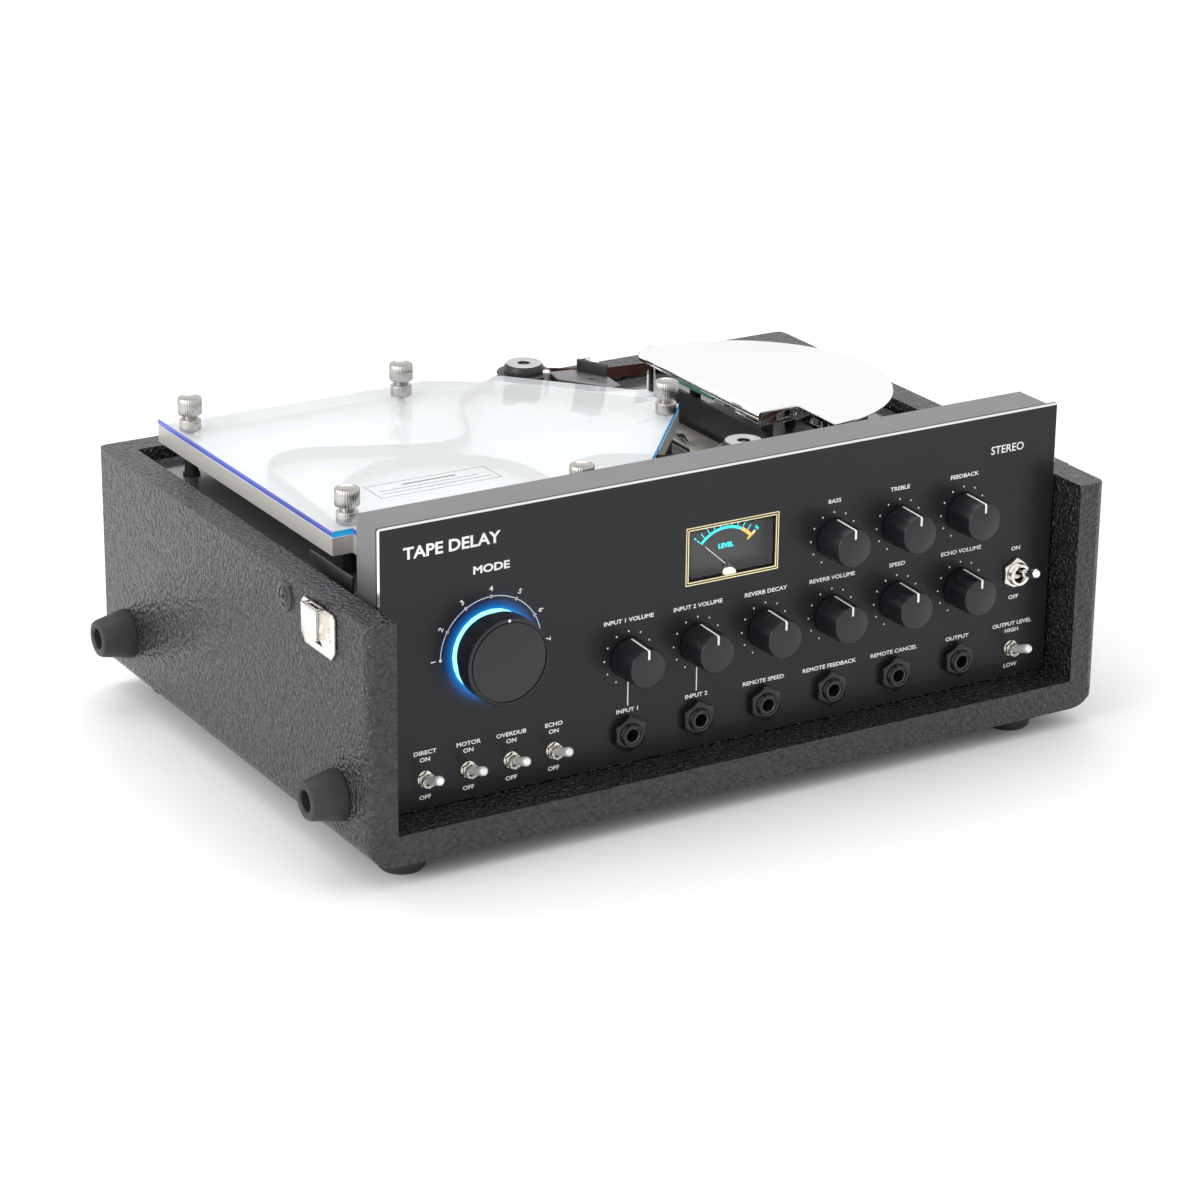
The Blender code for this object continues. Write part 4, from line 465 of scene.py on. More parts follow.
def block(bm, low, high, place=Matrix(), slot=0, edge=0.0):
    """A box with its edges eased."""
    size, middle = Vector(high) - Vector(low), (Vector(high) + Vector(low)) / 2
    made = bmesh.ops.create_cube(bm, size=1.0, matrix=place @ Matrix.Translation(middle)
                                 @ Matrix.Diagonal((*size, 1.0)))["verts"]
    faces = list(dict.fromkeys(face for vert in made for face in vert.link_faces))
    for face in faces:
        face.material_index = slot
    if edge > 0.0:
        edges = list(dict.fromkeys(side for face in faces for side in face.edges))
        bmesh.ops.bevel(bm, geom=edges, offset=edge, segments=2, profile=0.5, affect="EDGES",
                        material=slot)


def mesh_of(curve):
    item = bpy.data.objects.new(curve.name, curve)
    bpy.context.scene.collection.objects.link(item)
    bpy.context.view_layer.update()
    mesh = bpy.data.meshes.new_from_object(item.evaluated_get(
        bpy.context.evaluated_depsgraph_get()))
    bpy.data.objects.remove(item, do_unlink=True)
    return mesh


def add_sheet(bm, outlines, low, high, place=Matrix(), slot=0, edge=0.0, side_slot=None):
    """A flat sheet with holes and eased edges; the first outline is its rim."""
    curve = bpy.data.curves.new("outline", "CURVE")
    curve.dimensions = "2D"
    curve.fill_mode = "BOTH"
    curve.extrude = (high - low) / 2 - edge
    curve.bevel_depth = edge
    curve.bevel_resolution = 1
    curve.offset = -edge
    for outline in outlines:
        spline = curve.splines.new("POLY")
        spline.points.add(len(outline) - 1)
        for point, (x, y) in zip(spline.points, outline):
            point.co = (x, y, 0.0, 1.0)
        spline.use_cyclic_u = True
    before = set(bm.faces)
    mesh = mesh_of(curve)
    mesh.transform(place @ standing(0.0, 0.0, (low + high) / 2))
    bm.from_mesh(mesh)
    bpy.data.meshes.remove(mesh)
    fresh = [face for face in bm.faces if face not in before]
    upward = (place.to_3x3() @ Vector((0.0, 0.0, 1.0))).normalized()
    for face in fresh:
        face.normal_update()
        flat = abs(face.normal.dot(upward)) > 0.9
        face.material_index = slot if flat or side_slot is None else side_slot
    verts = list(dict.fromkeys(vert for face in fresh for vert in face.verts))
    bmesh.ops.remove_doubles(bm, verts=verts, dist=0.000002)


def circle(x, y, radius, steps=24, start=0.0, sweep=360.0):
    """Points round a circle, or along part of it when sweep is under a full turn."""
    count = steps if abs(sweep) >= 360.0 else steps + 1
    angles = (math.radians(start + sweep * n / steps) for n in range(count))
    return [(x + radius * math.cos(a), y + radius * math.sin(a)) for a in angles]


def slot_shape(x, y, half_length, half_width, turn=0.0, steps=8):
    """A rounded slot's outline."""
    reach = half_length - half_width
    points = (circle(reach, 0.0, half_width, steps, -90.0, 180.0)
              + circle(-reach, 0.0, half_width, steps, 90.0, 180.0))
    c, s = math.cos(math.radians(turn)), math.sin(math.radians(turn))
    return [(x + u * c - v * s, y + u * s + v * c) for u, v in points]


def rounded(low, high, radius, steps=5):
    """A rectangle's outline with round corners."""
    (x0, y0), (x1, y1) = low, high
    corners = ((x1 - radius, y1 - radius, 0), (x0 + radius, y1 - radius, 90),
               (x0 + radius, y0 + radius, 180), (x1 - radius, y0 + radius, 270))
    return [p for x, y, start in corners for p in circle(x, y, radius, steps, start, 90.0)]


def hexagon(bm, place, across, height, bore, slot=0, steps=48):
    """A nut with the usual chamfered corners."""
    flat = across / 2

    def corner(angle):
        return flat / math.cos((angle + math.pi / 6) % (math.pi / 3) - math.pi / 6)

    def shape(angle, radius, rise):
        if radius < flat:
            return radius, rise
        reach = corner(angle)
        if rise > height / 2:
            return reach, height - (reach - flat * 0.96) * 0.55
        return reach, rise

    profile = [(bore, 0.0), (across, 0.0), (across, height), (flat * 0.96, height),
               (bore + 0.0003, height), (bore, height - 0.0003), (bore, 0.0)]
    lathe(bm, profile, place, steps, slot, shape)


def threaded(bm, place, radius, start, end, bore, pitch=0.0006, slot=0, steps=32):
    """A bushing with fine threads and an open mouth."""
    profile = [(bore, start), (radius, start)]
    height = start
    while height + pitch < end - pitch:
        profile += [(radius, height + pitch * 0.25), (radius - pitch * 0.4, height + pitch * 0.75)]
        height += pitch
    profile += [(radius, end - 0.0003), (radius - 0.0003, end), (bore + 0.0002, end),
                (bore, end - 0.0002), (bore, start)]
    lathe(bm, profile, place, steps, slot)


def at(x, y, z, turn=UPRIGHT):
    return standing(x, y, z) @ turn


def measured(node):
    """A node's lowest and highest corners and its middle."""
    low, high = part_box(node)
    return low, high, (low + high) / 2


def middle_of(node):
    return measured(node)[2]


def dress(node, material, bevel=0.0, segments=2):
    """Give a CAD node its final material, and eased edges where it shows."""
    item = frame["nodes"][node]
    for slot in item.material_slots:
        slot.material = material
    if bevel > 0.0:
        step = item.modifiers.new("eased", "BEVEL")
        step.width = bevel
        step.segments = segments
        step.limit_method = "ANGLE"
        step.angle_limit = math.radians(40)
        step.harden_normals = True


# ---------------------------------------------------------------- case
CASE_LOW, CASE_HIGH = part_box("cabinet")
PANEL_LOW, PANEL_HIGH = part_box("front_panel")
FACE_Y = PANEL_LOW.y


def make_case():
    """The covered case: the CAD shell with its flat faces merged and all edges rolled."""
    bm = bmesh.new()
    bm.from_mesh(frame["nodes"]["cabinet"].data)
    bmesh.ops.remove_doubles(bm, verts=bm.verts, dist=0.00001)
    bmesh.ops.dissolve_limit(bm, angle_limit=math.radians(1), verts=bm.verts, edges=bm.edges)
    piece = stand_in("cabinet", "case_covering", bm, [VINYL])
    step = piece.modifiers.new("rolled", "BEVEL")
    step.width = 0.0022
    step.segments = 4
    step.limit_method = "ANGLE"
    step.angle_limit = math.radians(50)
    step.harden_normals = True


def make_feet():
    """Tapered rubber feet, each with a screw in its hollow."""
    for node in ("foot_front_left", "foot_front_right", "foot_rear_left", "foot_rear_right"):
        _, high, spot = measured(node)
        radius, top = high.x - spot.x, high.z
        tip, edge = radius * 0.88, 0.0012
        profile = [(0.0, top), (radius, top), (radius, top - edge), (tip, edge), (tip - edge, 0.0),
                   (0.0055, 0.0), (0.0045, 0.0006), (0.0045, 0.004), (0.0, 0.004)]
        bm = bmesh.new()
        lathe(bm, profile, standing(spot.x, spot.y))
        screw = [(0.0, 0.0024), (0.0026, 0.0027), (0.0034, 0.0036), (0.0034, 0.004), (0.0, 0.004)]
        lathe(bm, screw, standing(spot.x, spot.y), 24, 1)
        stand_in(node, node + "_rubber", bm, [RUBBER, STEEL])


def make_side_feet():
    """Long tapered feet on the left side."""
    for node in ("side_foot_front", "side_foot_rear"):
        low, high, spot = measured(node)
        length, base = high.x - low.x, high.y - spot.y
        tip = base * 0.76
        bm = bmesh.new()
        place = at(high.x, spot.y, spot.z, LEFTWARD)
        lathe(bm, [(0.0, 0.0), (base, 0.0), (base, 0.0012), (tip, length - 0.0015),
                   (tip - 0.0006, length - 0.0004), (tip - 0.0016, length), (0.0058, length),
                   (0.0051, length - 0.0008), (0.0050, length - 0.011), (0.0, length - 0.011)],
              place, 64)
        lathe(bm, [(0.0, 0.0088), (0.0028, 0.0084), (0.0036, 0.0074), (0.0036, 0.006),
                   (0.0, 0.006)], place, 24, 1)
        stand_in(node, node + "_rubber", bm, [RUBBER, STEEL])


LATCH_SHEET = 0.0012


def make_latch(node, side):
    """A pressed keeper: plate with a top tab, a folded hook box and a rivet."""
    low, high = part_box(node)
    width, height = high.y - low.y, high.z - low.z
    stand = high.x - low.x
    wall = high.x if side < 0 else low.x
    turn = Matrix(((0, 0, side, 0), (side, 0, 0, 0), (0, 1, 0, 0), (0, 0, 0, 1)))
    place = standing(wall, (low.y + high.y) / 2, low.z) @ turn
    half = width / 2
    bm = bmesh.new()
    plate = [(-half + 0.003, 0.0), (half - 0.003, 0.0), (half, 0.004), (half, height - 0.003),
             (half - 0.002, height - 0.001), (-half + 0.002, height - 0.001),
             (-half, height - 0.003), (-half, 0.004)]
    mouth = [(-0.0045, 0.0035), (0.0045, 0.0035), (0.0, 0.0075)]
    add_sheet(bm, [plate, mouth[::-1]], 0.0, LATCH_SHEET, place, 0, 0.00025)
    box_half, foot = 0.0075, 0.008
    top = height - 0.0004
    block(bm, (-box_half, foot, stand - LATCH_SHEET), (box_half, top, stand), place, 0, 0.0004)
    for x in (-box_half, box_half - LATCH_SHEET):
        block(bm, (x, foot, LATCH_SHEET * 0.8), (x + LATCH_SHEET, top, stand - 0.0003), place, 0,
              0.0002)
    lid = [(-box_half, 0.0), (box_half, 0.0), (box_half, stand), (-box_half, stand)]
    gap = slot_shape(0.0, stand / 2, 0.0045, 0.0008)
    flat = place @ standing(0.0, top) @ turned(90, "X")
    add_sheet(bm, [lid, gap], 0.0, LATCH_SHEET, flat, 0, 0.0002)
    rivet = [(0.0, 0.0007), (0.0014, 0.0006), (0.002, 0.0001), (0.0028, 0.0), (0.0031, 0.0003),
             (0.0034, 0.0)]
    for x in (-half + 0.004, half - 0.004):
        lathe(bm, rivet, place @ standing(x, height * 0.5, LATCH_SHEET), 24)
    back = [(-box_half, foot), (box_half, foot), (box_half, top), (-box_half, top)]
    add_sheet(bm, [back], 0.0002, LATCH_SHEET * 0.7, place, 1)
    stand_in(node, node + "_keeper", bm, [NICKEL, BLACK])


def make_latches():
    make_latch("latch_left", -1)
    make_latch("latch_right", 1)


def make_handle():
    """The strap with an end cap and screws over each of its pads."""
    low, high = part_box("carry_handle")
    dress("carry_handle", HANDLE, 0.0012, 3)
    for name, end, way in (("front", low.y, 1), ("rear", high.y, -1)):
        z = (low.z + high.z) / 2
        bm = bmesh.new()
        y0, y1 = sorted((end, end + way * 0.020))
        place = standing(low.x + 0.0047, 0.0, 0.0) @ turned(90, "Y")
        cap = rounded((-z - 0.0115, y0 + 0.001), (-z + 0.0115, y1), 0.004)
        add_sheet(bm, [cap], 0.0002, 0.0014, place, 0, 0.0004)
        screw = [(0.0, 0.0030), (0.0018, 0.0028), (0.0032, 0.0020), (0.0036, 0.0013)]
        for offset in (-0.006, 0.006):
            lathe(bm, screw, place @ standing(-z + offset, (y0 + y1) / 2, 0.0), 24)
        shaped(f"handle_cap_{name}", bm, [NICKEL])


def make_side_screw():
    """A black screw and cup washer on each side, behind the latch."""
    for name, x, side in (("left", CASE_LOW.x, -1), ("right", CASE_HIGH.x, 1)):
        turn = turned(90 * side, "Y")
        place = standing(x, -0.065, 0.118) @ turn
        bm = bmesh.new()
        lathe(bm, [(0.0075, -0.0002), (0.0070, 0.0009), (0.0052, 0.0012), (0.0045, 0.0006)], place)
        lathe(bm, [(0.0, 0.0006), (0.0008, 0.0006), (0.0010, 0.0016), (0.0030, 0.0014),
                   (0.0046, 0.0007)], place)
        shaped("side_screw_" + name, bm, [JACK])


# ---------------------------------------------------------------- printing on the panel
class Print:
    """Flat marks gathered in one mesh on the panel's face."""

    def __init__(self, y):
        self.bm = bmesh.new()
        self.place = standing(0.0, y) @ UPRIGHT

    def shape(self, points):
        self.bm.faces.new([self.bm.verts.new(self.place @ Vector((x, z, 0.0))) for x, z in points])

    def dot(self, x, z, radius):
        self.shape(circle(x, z, radius, 16))

    def line(self, x0, z0, x1, z1, width):
        along = Vector((x1 - x0, z1 - z0)).normalized()
        side = Vector((-along.y, along.x)) * width / 2
        ends = ((x0, z0, -1), (x1, z1, -1), (x1, z1, 1), (x0, z0, 1))
        self.shape([(x + side.x * s, z + side.y * s) for x, z, s in ends])

    def band(self, x, z, radius, width, start, sweep, steps=48):
        inner = circle(x, z, radius - width / 2, steps, start, sweep)
        outer = circle(x, z, radius + width / 2, steps, start, sweep)
        for n in range(len(inner) - 1):
            self.shape([inner[n], inner[n + 1], outer[n + 1], outer[n]])

    def words(self, text, x, z, height, weight=0.0, wide=1.0, align="CENTER", turn=0.0,
              most=1.0):
        """Text in plain sans capitals, its baseline at z; height is a capital's height."""
        curve = bpy.data.curves.new("words", "FONT")
        curve.body = text
        curve.align_x = align
        curve.size = height / 0.73
        curve.offset = weight
        curve.resolution_u = 3
        mesh = mesh_of(curve)
        span = max(v.co.x for v in mesh.vertices) - min(v.co.x for v in mesh.vertices)
        wide = min(wide, most / span)
        mesh.transform(self.place @ standing(x, z, 0.0)
                       @ turned(turn, "Z")
                       @ Matrix.Diagonal((wide, 1.0, 1.0, 1.0)))
        self.bm.from_mesh(mesh)
        bpy.data.meshes.remove(mesh)

    def label(self, text, x, z, most=1.0):
        self.words(text, x, z, LABEL, HEAVY, WIDE, most=most)

    def done(self, name, material):
        for face in self.bm.faces:
            face.smooth = False
        mesh = bpy.data.meshes.new(name)
        self.bm.to_mesh(mesh)
        self.bm.free()
        return placed(name, mesh, [material])


KNOBS = {
    "input_knob_1": "INPUT 1 VOLUME", "input_knob_2": "INPUT 2 VOLUME",
    "reverb_decay_knob": "REVERB DECAY", "reverb_volume_knob": "REVERB VOLUME",
    "speed_knob": "SPEED", "echo_volume_knob": "ECHO VOLUME", "bass_knob": "BASS",
    "treble_knob": "TREBLE", "feedback_knob": "FEEDBACK",
}
JACKS = {"jack_1": "INPUT 1", "jack_2": "INPUT 2", "jack_3": "REMOTE SPEED",
         "jack_4": "REMOTE FEEDBACK", "jack_5": "REMOTE CANCEL", "jack_6": "OUTPUT"}
SWITCHES = {"direct_toggle": "DIRECT", "motor_toggle": "MOTOR", "overdub_toggle": "OVERDUB",
            "echo_toggle": "ECHO", "output_level_toggle": "OUTPUT LEVEL"}
LABEL = 0.0021                         # height of a label's capitals
HEAVY, WIDE = 0.00006, 1.22            # label weight and width
KNOB_LABEL_RISE, JACK_LABEL_RISE = 0.0178, 0.0103
DOTS, DOT_CIRCLE, DOT_RADIUS = 11, 0.0131, 0.00045
MODE_STEPS, MODE_ARC, MODE_DIGITS = 7, 0.0264, 0.0290
JACK_ROW_Z = middle_of("jack_1").z - 0.0008
JACK_PITCH = (middle_of("jack_4").x - middle_of("jack_3").x) * 0.94


def make_printing():
    """Names, scales and dots in generic words on the panel."""
    marks = Print(FACE_Y - PRINT_LIFT)
    for node, text in KNOBS.items():
        spot = middle_of(node)
        marks.label(text, spot.x, spot.z + KNOB_LABEL_RISE)
        for x, z in circle(spot.x, spot.z, DOT_CIRCLE, DOTS - 1, 240.0, -300.0)[:DOTS]:
            marks.dot(x, z, DOT_RADIUS)
    for node, text in JACKS.items():
        spot = middle_of(node)
        marks.label(text, spot.x, spot.z + JACK_LABEL_RISE, JACK_PITCH)
    for node in ("input_knob_1", "input_knob_2"):
        spot = middle_of(node)
        marks.line(spot.x, spot.z - 0.0125, spot.x, spot.z - 0.0245, 0.0006)
    for node, text in SWITCHES.items():
        spot, z = middle_of(node), JACK_ROW_Z
        upper, lower = ("HIGH", "LOW") if node == "output_level_toggle" else ("ON", "OFF")
        marks.label(text, spot.x, z + 0.0122)
        marks.label(upper, spot.x, z + 0.0087)
        marks.label(lower, spot.x, z - 0.0100)
    power = middle_of("power_switch")
    marks.label("ON", power.x, power.z + 0.0118)
    marks.label("OFF", power.x, power.z - 0.0140)
    mode = middle_of("mode_knob")
    marks.band(mode.x, mode.z, MODE_ARC, 0.0004, 0.0, 180.0)
    for n in range(MODE_STEPS):
        angle = 180.0 - n * 180.0 / (MODE_STEPS - 1)
        x, z = math.cos(math.radians(angle)), math.sin(math.radians(angle))
        marks.dot(mode.x + MODE_ARC * x, mode.z + MODE_ARC * z, 0.0008)
        marks.words(str(n + 1), mode.x + MODE_DIGITS * x, mode.z + MODE_DIGITS * z, 0.0026,
                    0.00005, 1.15, turn=angle - 90.0)
    marks.words("MODE", mode.x, mode.z + 0.0388, 0.0038, 0.00016, 1.3)
    marks.words("TAPE DELAY", PANEL_LOW.x + 0.0128, PANEL_HIGH.z - 0.0165, 0.0058, 0.0002, 1.12,
                "LEFT")
    marks.words("STEREO", PANEL_HIGH.x - 0.030, PANEL_HIGH.z - 0.0205, 0.0042, 0.00004, 1.0)
    marks.done("panel_printing", PRINT)


# ---------------------------------------------------------------- controls
def make_knobs():
    """Small knobs with a white line over the rim."""
    for node in KNOBS:
        low, high, spot = measured(node)
        radius, length = high.x - spot.x, FACE_Y - low.y
        top = radius * 0.94
        profile = [(0.0065, 0.004), (0.0068, 0.0008), (radius - 0.0003, 0.0008), (radius, 0.0012),
                   (top + 0.0001, length - 0.0008), (top - 0.0002, length - 0.0003),
                   (top - 0.0007, length), (0.0, length)]
        place = at(spot.x, FACE_Y, spot.z)
        bm = bmesh.new()
        lathe(bm, profile, place, 96)
        half, lift = 0.00055, 0.00008
        side = [(radius + lift, 0.0028), (top + lift, length - 0.0004),
                (top - 0.0004, length + lift), (radius * 0.5, length + lift)]
        for (r0, h0), (r1, h1) in zip(side, side[1:]):
            bm.faces.new([bm.verts.new(place @ Vector((u, r, h))) for u, r, h in
                          ((-half, r0, h0), (half, r0, h0), (half, r1, h1), (-half, r1, h1))]
                         ).material_index = 1
        stand_in(node, node + "_cap", bm, [KNOB, PRINT])


def make_mode_knob():
    """The large knob with a groove round its face, and the lit ring behind it."""
    low, high, spot = measured("mode_knob")
    radius, length = high.x - spot.x, FACE_Y - low.y
    back, groove = length - 0.011, radius * 0.925
    profile = [(0.0065, 0.003), (0.0170, 0.0008), (0.0172, 0.0012), (0.0172, back - 0.0004),
               (radius - 0.0006, back), (radius, back + 0.0005), (radius, length - 0.0006),
               (radius - 0.0006, length), (groove + 0.0003, length),
               (groove + 0.0001, length - 0.0007), (groove - 0.0003, length - 0.0007),
               (groove - 0.0005, length - 0.0001), (groove - 0.0009, length), (0.0, length)]
    place = at(spot.x, FACE_Y, spot.z)
    bm = bmesh.new()
    lathe(bm, profile, place, 128)
    lathe(bm, [(0.0, length + 0.00005), (0.0007, length + 0.00005), (0.0007, length - 0.0002)],
          place @ standing(0.0, radius - 0.0009), 16, 1)
    stand_in("mode_knob", "mode_knob_cap", bm, [KNOB, PRINT])
    low, high, spot = measured("mode_light_ring")
    outer, face = high.x - spot.x, FACE_Y - low.y
    bm = bmesh.new()
    lathe(bm, [(outer - 0.0020, -0.0015), (outer - 0.0020, face - 0.0001), (outer - 0.0018, face),
               (outer - 0.0003, face), (outer, face - 0.0001), (outer, -0.0015)], place, 96)
    stand_in("mode_light_ring", "mode_light", bm, [RING])


def make_jacks():
    """A washer, nut, threaded bushing and deep socket for each jack, the socket's inside in painted
    near-black shade.
    """
    for node in JACKS:
        low, high, spot = measured(node)
        stand = FACE_Y - low.y
        place = at(spot.x, FACE_Y, spot.z)
        across = (high.z - low.z) * 0.985
        bm = bmesh.new()
        lathe(bm, [(0.0058, 0.0), (0.0082, 0.0001), (0.0083, 0.0004), (0.0082, 0.0007),
                   (0.0058, 0.0008)], place, 48)
        hexagon(bm, place @ standing(0.0, 0.0, 0.0008), across, 0.0030, 0.0055)
        threaded(bm, place, 0.00555, 0.0, stand, 0.0042, 0.0007)
        lathe(bm, [(0.0043, stand - 0.0009), (0.0036, stand - 0.0006), (0.0033, stand - 0.001)],
              place, 40, 1)
        # The bore's wall and floor: painted shade, darker than the nylon.
        lathe(bm, [(0.0033, stand - 0.001), (0.0033, -0.012), (0.0, -0.012)], place, 40, 2)
        lathe(bm, [(0.0, -0.0035), (0.0075, -0.0035), (0.0075, -0.026), (0.0, -0.026)], place, 24)
        stand_in(node, node + "_socket", bm, [JACK, BORE, SOCKET_PAINTED_SHADE])


def lever(bm, place, length, tip, neck, ball, slot=0):
    """A bat lever: ball, waist and a round-ended bat."""
    profile = [(0.0, -ball), (ball * 0.7, -ball * 0.7), (ball, 0.0), (ball * 0.7, ball * 0.7),
               (neck, ball * 1.3)]
    profile += [(neck + (tip - neck) * t ** 0.8, ball * 1.3 + (length - tip - ball * 1.3) * t)
                for t in (0.15, 0.35, 0.6, 0.85, 1.0)]
    profile += [(tip * math.cos(a), length - tip + tip * math.sin(a))
                for a in (math.radians(d) for d in (20, 40, 60, 75))]
    profile.append((0.0, length))
    lathe(bm, profile, place, 32, slot)


TOGGLE_TILT, POWER_TILT, PIVOT_STAND = 20, 18, 0.002      # as in the CAD


def make_toggles():
    """Levers on their own bodies; their bushings and nuts stay on the panel."""
    for node in SWITCHES:
        x, z = middle_of(node).x, JACK_ROW_Z
        pivot = at(x, FACE_Y - PIVOT_STAND, z, turned(90 - TOGGLE_TILT, "X"))
        bm = bmesh.new()
        lever(bm, pivot, 0.0149, 0.0023, 0.0018, 0.0019)
        stand_in(node, node + "_bat", bm, [LEVER])
        bm = bmesh.new()
        place = at(x, FACE_Y, z)
        threaded(bm, place, 0.0031, 0.0, 0.0042, 0.0024, 0.0005)
        hexagon(bm, place @ standing(0.0, 0.0, 0.0004), 0.0070, 0.0018, 0.0031)
        lathe(bm, [(0.003, 0.0), (0.0039, 0.0), (0.0041, 0.0002), (0.0039, 0.0004),
                   (0.003, 0.0004)], place, 32)
        shaped(node + "_nut", bm, [NICKEL])


def make_power():
    """The larger power lever in its nut and square body."""
    body_low, body_high, body = measured("power_switch")
    x, z = middle_of("power_toggle").x, body.z
    bm = bmesh.new()
    lever(bm, at(x, FACE_Y - PIVOT_STAND, z, turned(90 - POWER_TILT, "X")), 0.0181,
          0.0027, 0.0017, 0.0031)
    stand_in("power_toggle", "power_toggle_bat", bm, [CHROME])
    bm = bmesh.new()
    place = at(x, FACE_Y, z)
    threaded(bm, place, 0.0057, 0.0, 0.0055, 0.0040, 0.0006, steps=48)
    hexagon(bm, place @ standing(0.0, 0.0, 0.0004), 0.0139, 0.0020, 0.0057)
    block(bm, (body_low.x, FACE_Y + 0.0051, body_low.z), body_high, edge=0.0006)
    stand_in("power_switch", "power_switch_body", bm, [NICKEL])


# ---------------------------------------------------------------- meter
METER_RIM, METER_LINE, METER_DEPTH = 0.0016, 0.0004, 0.006
PIVOT_DROP = 0.0095                  # the needle's pivot, below the meter's middle
SCALE_RADIUS, TICK_START, TICK_ENDS, NUMBER_RADIUS = 0.0185, 0.0194, (0.0218, 0.0225), 0.0226
SCALE_MARKS, SCALE_START, SCALE_STEP = 11, 138.0, 9.6


def make_meter():
    """A dark box with a gold-lined rim in a painted glow, a lamp, a lit scale and the needle."""
    low, high, spot = measured("meter_housing")
    x, z = spot.x, spot.z
    half, tall = high.x - x, high.z - z
    place = at(0.0, 0.0, 0.0)
    front = -low.y

    def outline(inset):
        return rounded((x - half + inset, z - tall + inset), (x + half - inset, z + tall - inset),
                       METER_LINE, 2)

    bm = bmesh.new()
    add_sheet(bm, [outline(0.0), outline(METER_RIM)[::-1]], front - METER_DEPTH, front - 0.0003,
              place, 1)
    for inset in (0.0, METER_RIM - METER_LINE):
        add_sheet(bm, [outline(inset), outline(inset + METER_LINE)[::-1]], front - 0.0006, front,
                  place, 0)
    block(bm, (low.x, low.y + 0.0061, low.z), high, slot=1, edge=0.0004)
    bump = circle(x, z - tall + METER_RIM, 0.0030, 12, 0.0, 180.0)
    add_sheet(bm, [bump], front - 0.004, front - 0.001, place, 2, 0.0003)
    stand_in("meter_housing", "meter_frame", bm, [GOLD_PAINTED_GLOW, METER_FACE, LAMP])
    y = low.y + METER_DEPTH
    pivot_z = z - PIVOT_DROP
    scale = Print(y)
    scale.band(x, pivot_z, SCALE_RADIUS, 0.0013, 62.0, 76.0)
    for n in range(SCALE_MARKS):
        angle = SCALE_START - SCALE_STEP * n
        c, s = math.cos(math.radians(angle)), math.sin(math.radians(angle))
        end = TICK_ENDS[n % 2]
        scale.line(x + TICK_START * c, pivot_z + TICK_START * s, x + end * c, pivot_z + end * s,
                   0.0004)
        if n % 2 == 0:
            scale.words(str(n * 10), x + NUMBER_RADIUS * c, pivot_z + NUMBER_RADIUS * s, 0.0013,
                        0.00005, turn=angle - 90.0)
    scale.words("LEVEL", x, pivot_z + 0.0085, 0.0024, 0.0001)
    scale.done("meter_scale", CYAN)
    peak = Print(y)
    peak.band(x, pivot_z, SCALE_RADIUS, 0.0016, 42.0, 19.0)
    peak.line(x + 0.0120, pivot_z + 0.0105, x + 0.0165, pivot_z + 0.0138, 0.0009)
    peak.done("meter_peak", ORANGE)
    pivot = standing(x, middle_of("meter_needle").y, pivot_z)
    bm = bmesh.new()
    hub = [(0.0, 0.0018), (0.0013, 0.0017), (0.0016, 0.0013), (0.0016, -0.0018), (0.0, -0.0018)]
    lathe(bm, hub, pivot @ UPRIGHT, 32, 0)
    blade = pivot @ turned(-48, "Y")
    block(bm, (-0.00018, -0.0001, 0.0012), (0.00018, 0.0001, 0.017), blade, 1)
    block(bm, (-0.00035, -0.0002, -0.004), (0.00035, 0.0002, 0.0005), blade, 0)
    stand_in("meter_needle", "meter_pointer", bm, [BLACK, PRINT])
    dress("meter_window", WINDOW)


# ---------------------------------------------------------------- deck, tank and lid
DRESSED = {
    "deck_plate": (DECK, 0.0006), "panel_frame": (FRAME, 0.0003), "tape_tank": (TRAY, 0.0002),
    "tape_loop": (TAPE,), "front_panel": (PANEL,), "control_board": (BOARD,),
    "drive_motor": (STEEL, 0.0006), "power_transformer": (COPPER, 0.002), "capstan": (STEEL,),
    "pinch_arm": (STEEL, 0.0003), "tape_guide": (CHROME, 0.0003), "head_block": (BLACK, 0.0003),
}


def make_deck():
    """Materials and eased edges for the CAD nodes that show as they are."""
    for node, finish in DRESSED.items():
        dress(node, *finish)


SCREW_NODES = [f"thumbscrew_{n}" for n in range(1, 6)]


def make_posts():
    """Black posts between the deck and the tank."""
    deck_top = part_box("tape_guide")[0].z
    tank_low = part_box("tape_tank")[0].z
    bm = bmesh.new()
    for node in SCREW_NODES:
        spot = middle_of(node)
        place = standing(spot.x, spot.y)
        lathe(bm, [(0.0044, deck_top), (0.0044, deck_top + 0.0008), (0.0035, deck_top + 0.0011),
                   (0.0033, tank_low - 0.0001)], place, 32)
    shaped("tank_posts", bm, [BLACK])


def outline_of(node):
    """The outer outline of a flat sheet, read from the CAD node's top rim."""
    bm = bmesh.new()
    bm.from_mesh(frame["nodes"][node].data)
    bmesh.ops.remove_doubles(bm, verts=bm.verts, dist=0.00001)
    top = max(v.co.z for v in bm.verts)
    flat = [f for f in bm.faces if all(top - v.co.z < 0.00001 for v in f.verts)]
    after = {loop.vert: loop.link_loop_next.vert for face in flat for loop in face.loops
             if sum(mate in flat for mate in loop.edge.link_faces) == 1}
    rims = []
    while after:
        rim = [next(iter(after))]
        while rim[-1] in after:
            rim.append(after.pop(rim[-1]))
        rims.append([(v.co.x, v.co.y) for v in rim[:-1]])
    bm.free()
    return max(rims, key=lambda rim: max(x for x, _ in rim) - min(x for x, _ in rim))


